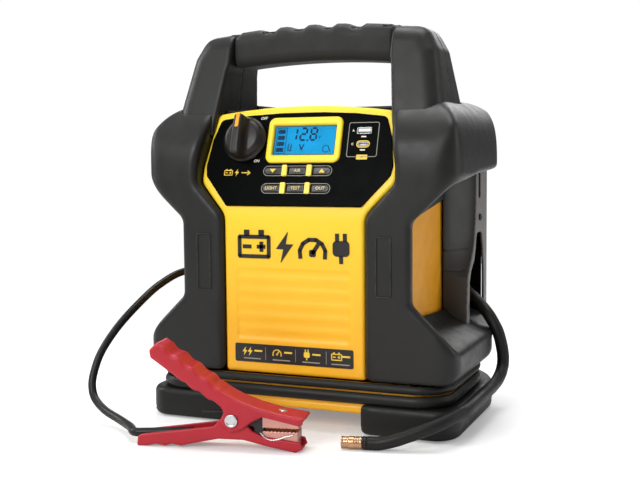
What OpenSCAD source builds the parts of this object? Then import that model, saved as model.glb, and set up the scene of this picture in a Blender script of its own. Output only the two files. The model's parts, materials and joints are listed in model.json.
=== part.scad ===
// Jump starter pack: a 12 V booster with an air compressor, display, USB ports and two battery clamps.
// The front looks along -Y and the origin is the centre of the footprint, on the floor. Sizes are in mm.

/* [Body] */
// Width across the shoulders
body_w = 294; // [290:1:298]
// Depth of the feet, front to back
body_d = 203; // [201:1:205]
// Height of the handle's crown
body_h = 353; // [350:1:356]
// Width across the hips
hip_w = 292; // [288:1:294]
// Width of the front posts at the waist
waist_w = 212; // [211:1:214]
// Height of the shoulders
top_z = 286; // [284:1:288]
// Thickness of the moulded walls
wall = 3; // [2.8:0.1:3.1]

/* [Control panel] */
// Lean of the control panel, in degrees from upright
tilt = 18; // [17:0.5:19]
// Length of the control panel up its slope
panel_l = 90; // [89:0.5:91]
// Diameter of the selector knob
knob_d = 38; // [34:1:40]
// Travel of a key
key_travel = 1; // [0.6:0.1:1.2]

/* [Clamps and hose] */
// Width of a battery clamp
clamp_w = 27; // [26:1:29]
// Diameter of a clamp cable
cable_d = 6.4; // [5.6:0.2:6.6]
// Diameter of the air hose
hose_d = 11; // [10:0.5:11.2]
// Radius of the valve bore in the air chuck
chuck_bore_r = 4; // [3.8:0.1:4.2]

/* [Hidden] */
$fn = 32;
gap = 0.3;
half_w = body_w / 2;
half_d = body_d / 2;
face_y = -half_d + 1.5;
cover_y = face_y + 5;
back_y = half_d;
split_y = 85;

// Heights of the stacked base parts
floor_z = 1;
tray_z0 = 17;
rib1_z = [27, 36];
rib2_z = [38.5, 44.8];
hip_z0 = 45;
hip_z1 = 73;
waist_z = [106, 180];
shoulder_z = 222;
panel_z = 190;
deck_z = 277;

// Half widths of the base parts, and the pocket cut into each flank
tray_w = 133;
rib_w = 138;
foot_w = 144.5;
foot_in = 61;
core_w = 99;
pocket_x = core_w + gap + wall;
pocket_y = -84;
bay_x = 125;
slot_w = 81;

// Radii of the rear corners, seen from above: of the body, the ribs and the feet
rear_r = 68;
rib_rear_r = 70;
foot_front_r = [20, 24];
foot_rear_r = [60, 66];

// The selector, display and keys, in the panel's own plane: across, then up the slope
knob_at = [-51.5, 62];
lcd_at = [4.8, 61.5];
lcd_size = [56, 27];
bezel_size = [65.6, 41];
usb_at = [59, 63];
key_x = [-21.5, 1.5, 24.5];
key_v = [33.6, 17.9];
key_size = [16.4, 6.4];
divider_x = [-10, 13];

// The drive of the compressor
gear_module = 1;
pinion_teeth = 12;
gear_teeth = 36;
motor_at = [42, 217];
gear_at = motor_at - [gear_module * (pinion_teeth + gear_teeth) / 2, 0];
gear_x = 20;
gear_h = 6;
throw = 5;
piston_r = 11;
cylinder_x = gear_x + gear_h + 6;

// The clamps, each in its own upright plane: along, then up
pivot_at = [81.6, 24.9];
pin_r = 3.5;
red_place = [-100.5, -180.7, 11.43];
black_place = [-60, 178, -5];

// ---------- helpers ----------

// Points on an elliptic arc with centre c and half axes r, from angle a0 to a1
function arc(c, r, a0, a1, n = 6) =
    [for (i = [0:n]) let (a = a0 + (a1 - a0) * i / n) [c[0] + r[0] * cos(a), c[1] + r[1] * sin(a)]];

// A half outline and its mirror image about x = 0, as one closed outline
function mirrored(p) = concat(p, [for (i = [len(p) - 1:-1:0]) [-p[i][0], p[i][1]]]);

// Extrudes a drawing of (X, Z) along Y, or one of (Y, Z) along X
module along_y(y0, y1) translate([0, y1, 0]) rotate([90, 0, 0]) linear_extrude(y1 - y0) children();
module along_x(x0, x1) translate([x0, 0, 0]) rotate([90, 0, 90]) linear_extrude(x1 - x0) children();

module box(p0, p1) translate(p0) cube(p1 - p0);
module rounded(size, r) translate(-size / 2) offset(r = r) translate([r, r]) square(size - 2 * [r, r]);
module mirror_x() { children(); mirror([1, 0, 0]) children(); }

// Stands on the control panel's slope: x across, y up the slope, z out of it
module on_panel(at = [0, 0]) translate([0, cover_y, panel_z]) rotate([90 - tilt, 0, 0]) translate(at) children();

// Catmull-Rom curve through the points p, with n steps between neighbours
function blend4(a, b, c, d, t) =
    0.5 * (2 * b + (c - a) * t + (2 * a - 5 * b + 4 * c - d) * t * t + (3 * b - a - 3 * c + d) * t * t * t);
function smooth_path(p, n) = concat(
    [for (i = [0:len(p) - 2], k = [0:n - 1])
        blend4(p[max(i - 1, 0)], p[i], p[i + 1], p[min(i + 2, len(p) - 1)], k / n)],
    [p[len(p) - 1]]);
function unit(v) = v / norm(v);
function heading(p, i) = unit(p[min(i + 1, len(p) - 1)] - p[max(i - 1, 0)]);

// A round tube along a smooth path: each ring stands square to the path, with its first point level
module tube(points, r, steps = 4, sides = 14) {
    p = smooth_path(points, steps);
    rings = [for (i = [0:len(p) - 1], k = [0:sides - 1])
        let (t = heading(p, i), u = unit(cross(t, [0.1, 0.05, 1])), v = cross(u, t), a = 360 * k / sides)
        p[i] + r * (cos(a) * u + sin(a) * v)];
    last = len(p) - 1;
    walls = [for (i = [0:last - 1], k = [0:sides - 1])
        let (a = i * sides, b = (k + 1) % sides) [a + k, a + sides + k, a + sides + b, a + b]];
    start_cap = [[for (k = [0:sides - 1]) k]];
    end_cap = [[for (k = [sides - 1:-1:0]) last * sides + k]];
    polyhedron(rings, concat(start_cap, walls, end_cap), convexity = 10);
}

// ---------- body envelope ----------

function flank(waist) = concat(
    [[hip_w / 2 - 4, hip_z0], [hip_w / 2, hip_z0 + 6], [hip_w / 2, hip_z1]],
    [[waist, waist_z[0]], [waist, waist_z[1]], [half_w, shoulder_z]],
    arc([half_w - 48, shoulder_z + 4], [48, top_z - shoulder_z - 4], 0, 90, 8));

function profile_top() = concat(
    arc([face_y + 50, 225], [50, top_z - 225], 180, 90, 8),
    arc([back_y - 50, 236], [50, top_z - 236], 90, 0, 8));

function plan(w, y0, y1, rf, rb) = concat(
    arc([w - rb, y1 - rb], [rb, rb], 0, 90, 8), arc([rb - w, y1 - rb], [rb, rb], 90, 180, 8),
    arc([rf - w, y0 + rf], [rf, rf], 180, 270), arc([w - rf, y0 + rf], [rf, rf], 270, 360));

// The moulded outside of the body, drawn in by inset
module envelope(inset, waist) intersection() {
    along_y(-half_d - 5, half_d + 5) offset(delta = -inset) polygon(mirrored(flank(waist)));
    along_x(-half_w - 5, half_w + 5) offset(delta = -inset)
        polygon(concat([[face_y, hip_z0]], profile_top(), [[back_y, hip_z0]]));
    linear_extrude(top_z + 5) offset(delta = -inset) polygon(plan(half_w, face_y, back_y, 26, rear_r));
}

// The hollow in the right flank where a hand reaches the cable, grown by t
module pocket(t) along_y(pocket_y - t, split_y + 40) offset(delta = t)
    polygon([[pocket_x, 94], [160, 66], [160, 228], [139, 228], [pocket_x, 191]]);

// The front opening that frames the yellow cover, drawn in by inset
module opening_outline(inset) offset(delta = -inset)
    polygon(mirrored([[65.5, hip_z0 + 1], [65.5, 184], [90, 212], [90, 226], [84, 258], [80.5, 276.5]]));

function window_outline() =
    [[pocket_y + 3, 102], [pocket_y + 3, 170], [pocket_y + 16, 179], [16, 188], [16, 95], [-56, 98]];

// ---------- outer shells ----------

module side_shell() color([0.16, 0.16, 0.17]) difference() {
    difference() {
        envelope(0, waist_w / 2);
        pocket(0);
    }
    difference() {
        envelope(wall, waist_w / 2);
        pocket(wall);
        box([0, 4, 240], [slot_w + wall, split_y + 20, top_z + 5]);
        along_y(-half_d - 5, cover_y + 8) opening_outline(-wall);
    }
    box([-half_w - 5, -half_d - 5, 0], [0.5, half_d + 5, top_z + 5]);
    box([0, split_y, 0], [half_w + 5, half_d + 5, top_z + 5]);
    box([0, cover_y + 29, 0], [slot_w, split_y + 1, top_z + 5]);
    along_y(-half_d - 5, cover_y + 30) opening_outline(0);
    box([0, -half_d - 5, 276], [slot_w, cover_y + 30, top_z + 5]);
    box([0, cover_y + 2, 40], [core_w + gap, split_y + 1, 50]);
    box([slot_w - 1, -71 - gap, 262 - gap], [126 + gap, 6 + gap, top_z + 5]);
    along_x(core_w, pocket_x + 1) offset(r = 5) offset(delta = -5) polygon(window_outline());
    along_x(core_w, pocket_x + 1) translate([58, 128]) rounded([34, 50], 8);
    translate([core_w, 63, 176]) rotate([0, 90, 0]) cylinder(r = 1.65, h = 10);
}

// Stands at each screw boss of the back, pointing forwards from y
module at_bosses(y) for (s = [-1, 1], z = [70, 125, 178]) translate([s * 91.5, y, z]) rotate([90, 0, 0]) children();

module core_housing() color([0.98, 0.7, 0.08]) difference() {
    union() {
        difference() {
            box([-core_w, cover_y + 4, 48.3], [core_w, split_y - 0.5, 193]);
            box([2.5 - core_w, cover_y, 40], [core_w - 2.5, split_y + 5, 190]);
            box([-core_w - 5, cover_y, 189], [core_w + 5, -62, 200]);
        }
        at_bosses(split_y - 0.5) cylinder(r = 6, h = 16);
    }
    at_bosses(split_y) cylinder(r = 1.85, h = 18);
    mirror_x() along_x(core_w - 5, core_w + 3) translate([58, 128]) rounded([30, 46], 8);
    for (s = [-1, 1]) translate([s * (core_w - 5) - 5, 63, 176]) rotate([0, 90, 0]) cylinder(r = 1.65, h = 10);
}

// The face and its lip, seen from the side as (Y, Z)
function cover_profile() = let (
        s = sin(tilt), c = cos(tilt), top = [cover_y + panel_l * s, panel_z + panel_l * c])
    [[cover_y, hip_z0 + 1], [cover_y, panel_z], top, top + [7, 1], top + [7, -2], top + [2.6, -2.6],
     [cover_y + wall / c, panel_z + 0.5], [cover_y + wall, panel_z], [cover_y + wall, hip_z0 + 1]];

module front_cover() color([0.98, 0.7, 0.08]) {
    difference() {
        intersection() {
            along_x(-95, 95) polygon(cover_profile());
            along_y(-half_d, -20) opening_outline(0.4);
        }
        on_panel() translate([0, 0, -8]) {
            translate(knob_at) cylinder(r = 5.3, h = 12);
            translate(lcd_at) linear_extrude(12) square(lcd_size + [2, 4.4], center = true);
            for (x = key_x, v = key_v) translate([x, v]) linear_extrude(12)
                square(key_size + [0.6, 0.6], center = true);
            usb_holes(12, 0.2);
        }
    }
    for (x = divider_x, v = key_v) on_panel([x, v, -1]) linear_extrude(4) rounded([4.6, 9.4], 1);
}

module usb_holes(h, grow) {
    translate(usb_at + [0, 6]) linear_extrude(h) square([13.2, 5.8] + 2 * [grow, grow], center = true);
    translate(usb_at + [0, -6]) linear_extrude(h) rounded([9.4, 3.6] + 2 * [grow, grow], 1.6);
}

function overlay_outline() = mirrored([
    [63, 2], [86, 29], [86.6, 36], [83, 63], [76.6, panel_l - 7], [50, panel_l - 3.2], [20, panel_l - 2]]);

module control_panel() color([0.03, 0.03, 0.03]) on_panel() difference() {
    linear_extrude(1.2) polygon(overlay_outline());
    translate([0, 0, -1]) {
        translate(knob_at) cylinder(r = 7, h = 4);
        translate(lcd_at) linear_extrude(4) rounded(bezel_size + [0.4, 0.4], 5.2);
        for (x = key_x, v = key_v) translate([x, v]) linear_extrude(4) square(key_size + [0.6, 0.6], center = true);
        for (x = divider_x, v = key_v) translate([x, v]) linear_extrude(4) square([5, 9.8], center = true);
        usb_holes(4, 0.2);
    }
}

// The back of the body, with bosses for its screws
module rear_cover() color([0.16, 0.16, 0.17]) difference() {
    envelope(0, bay_x - 1);
    difference() {
        envelope(wall, bay_x - 1);
        at_bosses(back_y - 1) cylinder(r = 7, h = 17);
    }
    box([-half_w - 5, -half_d - 5, 0], [half_w + 5, split_y + gap, top_z + 5]);
    at_bosses(92) rotate([180, 0, 0]) {
        cylinder(r = 4.6, h = 20);
        translate([0, 0, -20]) cylinder(r = 2.1, h = 30);
    }
    along_y(90, half_d + 5) {
        translate([-38, 150]) square([48, 41], center = true);
        translate([0, 214]) rounded([70.6, 18.6], 5);
        for (k = [0:5]) translate([22 + 7 * k, 142]) rounded([3, 46], 1.4);
        for (k = [0:8]) translate([-36 + 9 * k, 84]) rounded([3, 26], 1.4);
    }
    for (s = [-1, 1]) translate([-38 + s * 23.5, back_y - 1.4, 168.6]) rotate([0, 90, 0])
        cylinder(r = 0.85, h = 5.4, center = true);
}

module top_deck() color([0.16, 0.16, 0.17]) along_x(gap - slot_w, slot_w - gap) polygon([
    [-58, deck_z - wall], [-58, deck_z], [70, deck_z], [split_y, deck_z - 5],
    [split_y, deck_z - 8], [69, deck_z - wall]]);

// ---------- base ----------

module base_plan(w, grow) offset(delta = grow)
    polygon(plan(w, face_y + (rib_w - w), back_y - 7.5 - (rib_w - w), 30, rib_rear_r));

module base_tray() color([0.98, 0.7, 0.08]) difference() {
    translate([0, 0, tray_z0]) linear_extrude(hip_z0 - tray_z0 - 0.2) base_plan(tray_w, 0);
    translate([0, 0, tray_z0 + wall]) linear_extrude(hip_z0) base_plan(tray_w, -wall);
    base_screw_holes(1.85);
}

module bumper_ribs() color([0.13, 0.13, 0.14]) for (z = [rib1_z, rib2_z])
    translate([0, 0, z[0]]) linear_extrude(z[1] - z[0]) difference() {
        base_plan(rib_w, 0);
        base_plan(tray_w, 0.2);
    }

function foot_outline() = concat(
    [[foot_in, face_y + 9], [foot_in + 10, -half_d]],
    arc([foot_w, -half_d] + [-foot_front_r[0], foot_front_r[1]], foot_front_r, 270, 360, 8),
    arc([foot_w, half_d] - foot_rear_r, foot_rear_r, 0, 90, 8),
    [[foot_in + 10, half_d], [foot_in, half_d - 9]]);

pad_at = [104, 70];
module at_pads() for (x = [-1, 1], y = [-1, 1]) translate([x * pad_at[0], y * pad_at[1], 0]) children();
module base_screw_holes(r) for (x = [-1, 1], y = [-1, 1]) translate([x * 84, y * 70, 0]) cylinder(r = r, h = 30);

module foot() color([0.15, 0.15, 0.16]) difference() {
    translate([0, 0, floor_z]) linear_extrude(rib1_z[0] - floor_z - gap) polygon(foot_outline());
    translate([0, 0, tray_z0]) linear_extrude(30) base_plan(tray_w, gap);
    at_pads() cylinder(r = 11.2, h = 2.6);
    base_screw_holes(2.2);
    for (y = [-1, 1]) translate([84, y * 70, 0]) cylinder(r = 4.8, h = 10);
}

module rubber_pads() color([0.07, 0.07, 0.07]) at_pads() cylinder(r = 11, h = 2.6);

module screw(head_r, head_h, r, l) {
    difference() {
        translate([0, 0, -head_h]) cylinder(r = head_r, h = head_h);
        translate([0, 0, -head_h - 1]) cylinder(r = head_r * 0.45, h = 2.4, $fn = 6);
    }
    cylinder(r = r, h = l);
}

module housing_screws() color([0.35, 0.35, 0.37]) {
    at_bosses(92) screw(4, 3, 1.8, 22);
    for (x = [-1, 1], y = [-1, 1]) translate([x * 84, y * 70, 10]) screw(4.2, 3, 1.8, 9.5);
    mirror_x() translate([bay_x, 63, 176]) rotate([0, -90, 0]) screw(3.2, 1.6, 1.5, 24);
}

// ---------- handle ----------

grip_x = 75.7;
grip_at = [-29.5, body_h - 18.2];
grip_size = [41, 36.4];
bar_size = [33, 23];

module handle_frame() difference() {
    intersection() {
        along_y(-80, 20) polygon(mirrored(concat(
            [[126, 262], [125.5, 288]], arc([66, 288], [59.5, body_h - 4 - 288], 0, 90, 9), [[0, body_h]])));
        along_x(-130, 130) polygon([[-71, 262], [-52, body_h - 8], [-46, body_h], [-13, body_h],
            [-8, body_h - 8], [6, 262]]);
    }
    along_y(-81, 21) polygon(mirrored([
        [84.8, 250], [grip_x + 2, body_h - 41], [grip_x + gap, body_h - 35], [grip_x + gap, body_h + 7]]));
}

module handle_half(front) color([0.16, 0.16, 0.17]) intersection() {
    union() {
        handle_frame();
        along_x(-grip_x - 5, grip_x + 5) translate(grip_at) square(bar_size, center = true);
    }
    if (front) box([-150, -90, 250], [150, grip_at[0] - 0.1, 370]);
    else box([-150, grip_at[0], 250], [150, 30, 370]);
}

module handle_grip() color([0.1, 0.1, 0.1]) along_x(-grip_x, grip_x) difference() {
    translate(grip_at) rounded(grip_size, 10);
    translate(grip_at) square(bar_size + [gap, gap], center = true);
}

// ---------- control parts ----------

module display_bezel() color([0.98, 0.75, 0.1]) on_panel(lcd_at) linear_extrude(3) difference() {
    rounded(bezel_size, 5);
    square(lcd_size, center = true);
}
module display_window() color([0.8, 0.9, 0.95]) on_panel(lcd_at) translate([0, 0, 0.2]) linear_extrude(1)
    square(lcd_size - [0.2, 0.2], center = true);
module display_module() color([0.1, 0.6, 0.9]) on_panel(lcd_at) translate([0, 0, -6]) linear_extrude(5.9)
    square(lcd_size + [1.6, 4], center = true);

module usb_sockets() color([0.75, 0.75, 0.77]) on_panel() translate([0, 0, -13]) difference() {
    usb_holes(14.4, 0);
    translate([0, 0, 3]) {
        translate(usb_at + [0, 6]) linear_extrude(13) difference() {
            square([12.4, 5], center = true);
            translate([0, 1]) square([11, 1.6], center = true);
        }
        translate(usb_at + [0, -6]) linear_extrude(13) difference() {
            rounded([8.4, 2.6], 1.2);
            square([6.4, 0.8], center = true);
        }
    }
}

module main_board() color([0.1, 0.4, 0.2]) on_panel([0, 0, -10]) {
    difference() {
        translate([-74, 8]) cube([148, 72, 1.6]);
        translate([knob_at[0], knob_at[1], -1]) linear_extrude(4) square([32, 32], center = true);
        translate([0, 0, -1]) usb_holes(4, 0.4);
    }
    for (x = key_x, v = key_v) translate([x - 3, v - 2.5, 1.6]) cube([6, 5, 3]);
    for (x = [-34, -10, 36]) translate([x, 40, -9]) cube([12, 14, 9]);
}

module rotary_switch() color([0.2, 0.2, 0.22]) on_panel(knob_at) difference() {
    union() {
        translate([-15, -15, -34]) cube([30, 30, 30]);
        translate([0, 0, -5]) cylinder(r = 5, h = 6);
        for (x = [-9, 9]) translate([x, 0, -44]) cylinder(r = 3.5, h = 11);
    }
    translate([0, 0, -20]) cylinder(r = 3.05, h = 40);
}

module selector_knob() color([0.16, 0.15, 0.15]) on_panel(knob_at) difference() {
    union() {
        translate([0, 0, 1.8]) cylinder(r = knob_d / 2, h = 4.2);
        translate([0, 0, 6]) cylinder(r1 = knob_d / 2, r2 = knob_d / 2 - 2.5, h = 4);
        translate([0, 0, 9.9]) intersection() {
            cylinder(r = knob_d / 2 - 2.5, h = 8);
            translate([-5.5, -20, 0]) cube([11, 40, 8]);
        }
        translate([0, 0, -18]) cylinder(r = 3, h = 20);
    }
    pointer_shape();
}
module pointer_shape() translate([-1.7, 5.2, 15.9]) cube([3.4, 15, 3]);
module knob_pointer() color([0.95, 0.6, 0.1]) on_panel(knob_at) intersection() {
    pointer_shape();
    translate([0, 0, 9.9]) cylinder(r = knob_d / 2 - 2.5, h = 8);
}

// A key with a round outer end: side is -1, 0 or 1 for the left, middle and right of a row
module key(col, row) {
    side = col - 1;
    color([0.05, 0.05, 0.05]) on_panel([key_x[col], key_v[row], -3]) {
        linear_extrude(4.8) if (side == 0) square(key_size, center = true);
        else translate([side * (key_size[0] - key_size[1]) / 2, 0]) {
            circle(d = key_size[1]);
            translate([-side * (key_size[0] - key_size[1] / 2) / 2, 0])
                square([key_size[0] - key_size[1] / 2, key_size[1]], center = true);
        }
    }
}

module front_labels() color([0.05, 0.05, 0.05]) along_y(cover_y - 0.8, cover_y) {
    translate([0, 157]) rounded([110, 28], 3);
    translate([0, 63.5]) rounded([111, 16], 1.5);
}

// ---------- cable bays ----------

function bay_front() = [[50, 212], [44, 165], [41, 149], [24, 129], [18, 93]];
bay_top_z = 212;

// The right bay: a stepped front wall and a side plate with an arched way out for the hose or cables
module bay_cover() color([0.2, 0.2, 0.21]) intersection() {
    difference() {
        along_x(pocket_x + gap, bay_x) polygon(concat(bay_front(), [[split_y, 93], [split_y, bay_top_z]]));
        along_x(pocket_x, bay_x - 2.5) offset(delta = -2.5)
            polygon(concat(bay_front(), [[split_y + 9, 60], [split_y + 9, bay_top_z + 9]]));
        along_x(bay_x - 5, bay_x + 1) {
            polygon(concat([[79, 80], [28, 80], [29, 108]], arc([64, 140], [15.5, 22], 160, 0, 8)));
            translate([62, bay_top_z]) rounded([9, 36], 4);
        }
        translate([bay_x - 5, 63, 176]) rotate([0, 90, 0]) cylinder(r = 1.7, h = 10);
    }
    difference() {
        pocket(-gap);
        box([half_w - 1, 0, 0], [half_w + 20, split_y + 50, 300]);
    }
}

// ---------- electrics ----------

module battery() color([0.25, 0.27, 0.3]) box([-90.5, -40, tray_z0 + wall + gap], [90.5, 37, 180]);
module battery_terminals() color([0.75, 0.6, 0.35]) for (s = [-1, 1]) translate([s * 74, -20, 180]) {
    translate([-7, -1.5, 0]) cube([14, 3, 8]);
}

module charger_board() color([0.12, 0.35, 0.2]) {
    box([-70, 52, 60], [60, 53.6, 182]);
    box([-60, 53.6, 70], [-20, 76, 112]);
    box([0, 53.6, 70], [30, 70, 100]);
}

module ac_inlet() color([0.1, 0.1, 0.1]) difference() {
    box([-56, 80, 136], [-20, 98, 162]);
    box([-53, 84, 139], [-23, 99, 159]);
}
module ac_flap() color([0.18, 0.18, 0.19]) {
    box([-61.7, back_y - 2.8, 129.8], [-14.3, back_y, 168.6]);
    translate([-38, back_y - 1.4, 168.6]) rotate([0, 90, 0]) {
        cylinder(r = 1.4, h = 47.4, center = true);
        cylinder(r = 0.8, h = 51.4, center = true);
    }
}
module lamp_lens() color([0.9, 0.93, 0.95]) along_y(back_y - 2.5, back_y) translate([0, 214]) rounded([70, 18], 4.8);
module lamp_reflector() color([0.8, 0.8, 0.82]) difference() {
    along_y(88, back_y - 3.2) translate([0, 214]) rounded([74, 22], 6);
    along_y(90, back_y) translate([0, 214]) rounded([68, 16], 4);
}

// ---------- compressor ----------

function involute(a) = tan(a) * 180 / PI - a;
function tooth_half(r, pitch_r, teeth) = let (base_r = pitch_r * cos(20))
    0.2 * 360 / teeth + involute(20) - (r <= base_r ? 0 : involute(acos(base_r / r)));
function gear_points(m, teeth, phase) = let (
        pr = m * teeth / 2, radii = [pr - 1.25 * m, pr - 0.5 * m, pr, pr + 0.5 * m, pr + 0.9 * m])
    [for (k = [0:teeth - 1], side = [-1, 1], i = [0:len(radii) - 1])
        let (r = radii[side < 0 ? i : len(radii) - 1 - i],
             a = phase + 360 * k / teeth + side * tooth_half(r, pr, teeth)) [r * cos(a), r * sin(a)]];

module compressor_motor() color([0.6, 0.6, 0.62]) difference() {
    union() {
        along_x(-46, 13) translate(motor_at) circle(d = 36);
        along_x(12, 15.5) translate(motor_at) circle(r = 6);
    }
    along_x(-50, 20) translate(motor_at) circle(r = 1.65);
}
module motor_rotor() color([0.8, 0.7, 0.4]) {
    along_x(-48, gear_x + gear_h + 1) translate(motor_at) circle(r = 1.6);
    along_x(gear_x, gear_x + gear_h) translate(motor_at) polygon(gear_points(gear_module, pinion_teeth, 180));
}
module crank_gear() color([0.85, 0.85, 0.8]) {
    along_x(gear_x, gear_x + gear_h) translate(gear_at) difference() {
        polygon(gear_points(gear_module, gear_teeth, 180 / gear_teeth));
        circle(r = 3.05);
    }
    along_x(gear_x + gear_h - 1, gear_x + gear_h + 9) translate(gear_at + [0, throw]) circle(r = 1.9);
}
module piston() color([0.7, 0.7, 0.72]) {
    translate([cylinder_x, -22, gear_at[1]]) rotate([90, 0, 0]) cylinder(r = piston_r, h = 8);
    box([cylinder_x - 2, -23, gear_at[1] - 3], [cylinder_x + 2, gear_at[0] - 14, gear_at[1] + 3]);
    along_x(cylinder_x - 2, cylinder_x + 2) translate(gear_at) difference() {
        square([31, 23], center = true);
        square([25, 17], center = true);
    }
}
module compressor_frame() color([0.5, 0.5, 0.52]) {
    difference() {
        union() {
            box([15.6, -40, 193], [gear_x - 1, 64, 238]);
            translate([cylinder_x, -12, gear_at[1]]) rotate([90, 0, 0]) cylinder(r = 15, h = 36);
            box([15.6, -48, 193], [cylinder_x + 12, -14, 206]);
        }
        along_x(0, 40) translate(motor_at) circle(r = 7.6);
        translate([cylinder_x, -11, gear_at[1]]) rotate([90, 0, 0]) cylinder(r = piston_r + 0.05, h = 33);
    }
    along_x(gear_x - 2, gear_x + gear_h - 1) translate(gear_at) circle(r = 3);
}

// ---------- hose, cables and clamps ----------

chuck_from = [80, -136.6, hose_d / 2 + 0.2];
chuck_heading = 192.5;

// A point on the chuck's centre line, behind the joint of hose and chuck
function behind_chuck(back, up = 0) =
    chuck_from + [-back * cos(chuck_heading), -back * sin(chuck_heading), up];

function hose_path() = [
    [103, 66, 124], [112, 62, 111], [126, 55, 99], [143, 44, 87], [154, 40, 70.5], [155.5, 41, 52],
    [154, 38, 38], [151.8, 18, 28.5], [150.6, -35, 26.3], [150.4, -80, 26.2], [146, -99, 25.3], [133, -118, 20],
    [107.3, -130, 10.2], behind_chuck(13, 0.4), behind_chuck(6), behind_chuck(2.2)];

module air_hose() color([0.1, 0.1, 0.1]) tube(hose_path(), hose_d / 2 - 0.3, 4, 12);
module at_chuck() translate(chuck_from) rotate([0, 0, chuck_heading]) rotate([0, 90, 0]) children();
module hose_ferrule() color([0.05, 0.05, 0.05]) at_chuck() difference() {
    translate([0, 0, -2]) cylinder(r = hose_d / 2 + 0.1, h = 3.6);
    translate([0, 0, -3]) cylinder(r = 3, h = 6);
    translate([0, 0, -9]) cylinder(r = hose_d, h = 7.1);
}
module air_chuck() color([0.75, 0.6, 0.4]) at_chuck() difference() {
    translate([0, 0, 1.7]) cylinder(r = hose_d / 2 - 0.1, h = 17);
    translate([0, 0, 6.7]) cylinder(r = chuck_bore_r, h = 20);
    translate([0, 0, 0]) cylinder(r = 1, h = 20);
}

// A point s along a clamp, n beside it and z up
function clamp_point(place, s, n, z) =
    [place[0] + s * cos(place[2]) - n * sin(place[2]), place[1] + s * sin(place[2]) + n * cos(place[2]), z];
cable_tail = [for (s = [6, 26, 46]) [s, 0, 8.4 + 0.06 * s]];
function red_path() = concat([
    [-106, 57, 122], [-119, 52, 120], [-134, 26, 122], [-151, -16, 123], [-162, -45, 113],
    [-168, -74, 98], [-176, -98, 79], [-182, -116, 59], [-183.7, -126, 42], [-182, -132, 30],
    [-175.3, -137, 20], [-160, -144, 12.6], [-138, -154, 8.6], [-119, -168, 8], clamp_point(red_place, -6, 1, 8.4)],
    [for (q = cable_tail) clamp_point(red_place, q[0], q[1], q[2])]);
function black_path() = concat([
    [-106, 66, 104], [-120, 67, 101], [-136, 72, 94], [-151, 84, 76], [-157, 102, 50], [-150, 130, 25],
    [-128, 158, 10], [-98, 176, 6.8], clamp_point(black_place, -10, 0.5, 7.6)],
    [for (q = cable_tail) clamp_point(black_place, q[0], q[1], q[2])]);
module red_cable() color([0.08, 0.08, 0.08]) tube(red_path(), cable_d / 2, 4, 10);
module black_cable() color([0.08, 0.08, 0.08]) tube(black_path(), cable_d / 2, 4, 10);

module at_clamp(place) translate([place[0], place[1], 0]) rotate([0, 0, place[2]]) children();

// Outlines of a clamp's two halves, as (along, up), with the handles to the left
function lower_outline() = concat([[0, 0], [1, 8], [5, 10], [36, 14.5], [66, 19]],
    arc(pivot_at, [9.5, 9.5], 200, 20, 8), [[98, 16], [106, 12], [137, 8.5], [139, 3], [133, 0],
    [112, 3.6], [90, 8.5], [69, 8.5], [44, 3], [38, 1.6], [30, 2.4], [24, 1], [16, 1.8], [9, 0.4]]);
function upper_top() = [[141, 28.5], [120, 31.5], [100, 36.5], [85, 42], [74, 47.5], [62, 56], [50, 64.5],
    [40, 72], [30, 78], [20, 86.5]];
function upper_outline() = concat(upper_top(), [[12.5, 79], [14, 73], [28, 63.5], [46, 51], [58, 44.3]],
    arc(pivot_at, [11, 11], 145, 330, 9), [[98, 23], [106, 28], [137.5, 21.8]]);
function lower_web() = [[0, 0], [1, 5], [44, 7], [69, 11.4], [90, 11.4], [112, 6.6], [132, 3.4], [139, 3],
    [133, 0], [112, 3.6], [90, 8.5], [69, 8.5], [44, 3], [38, 1.6], [30, 2.4], [24, 1], [16, 1.8], [9, 0.4]];
function upper_web() = concat(upper_top(), [[17.5, 83.5], [28.2, 75.2], [38.2, 69.4], [48.2, 61.8],
    [60.4, 53.3], [72.4, 44.8], [83.6, 39.2], [99, 33.6], [119.3, 28.6], [138.5, 25.4]]);

module plates(inner, outer) { along_y(inner, outer) children(); along_y(-outer, -inner) children(); }

module clamp_lower() difference() {
    union() {
        plates(clamp_w / 2 - 5.6, clamp_w / 2 - 3.1) polygon(lower_outline());
        along_y(3.1 - clamp_w / 2, clamp_w / 2 - 3.1) polygon(lower_web());
    }
    along_y(-20, 20) translate(pivot_at) circle(r = pin_r + 0.05);
}
module clamp_upper() difference() {
    union() {
        plates(clamp_w / 2 - 2.8, clamp_w / 2) polygon(upper_outline());
        along_y(-clamp_w / 2, clamp_w / 2) polygon(upper_web());
    }
    along_y(-20, 20) translate(pivot_at) circle(r = pin_r + 0.05);
}

// A toothed copper jaw under each web; up is 1 for the upper one
module jaw(up) along_y(-7.4, 7.4) polygon(up == 1
    ? concat([[108, 31], [109, 19]], [for (k = [0:7]) each [[112 + 3 * k, 17.6], [113.5 + 3 * k, 19.4]]],
        [[136, 25.4], [122, 27.8]])
    : concat([[108, 8.4], [109, 15.4]], [for (k = [0:7]) each [[110.5 + 3 * k, 17], [112 + 3 * k, 15.2]]],
        [[135, 4.2], [112, 7.6]]));

module pivot_pin() along_y(-clamp_w / 2 - 1.8, clamp_w / 2 + 1.8) translate(pivot_at) circle(r = pin_r);
module pivot_heads() plates(clamp_w / 2 + 0.2, clamp_w / 2 + 2) translate(pivot_at) circle(r = 5.2);
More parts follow.
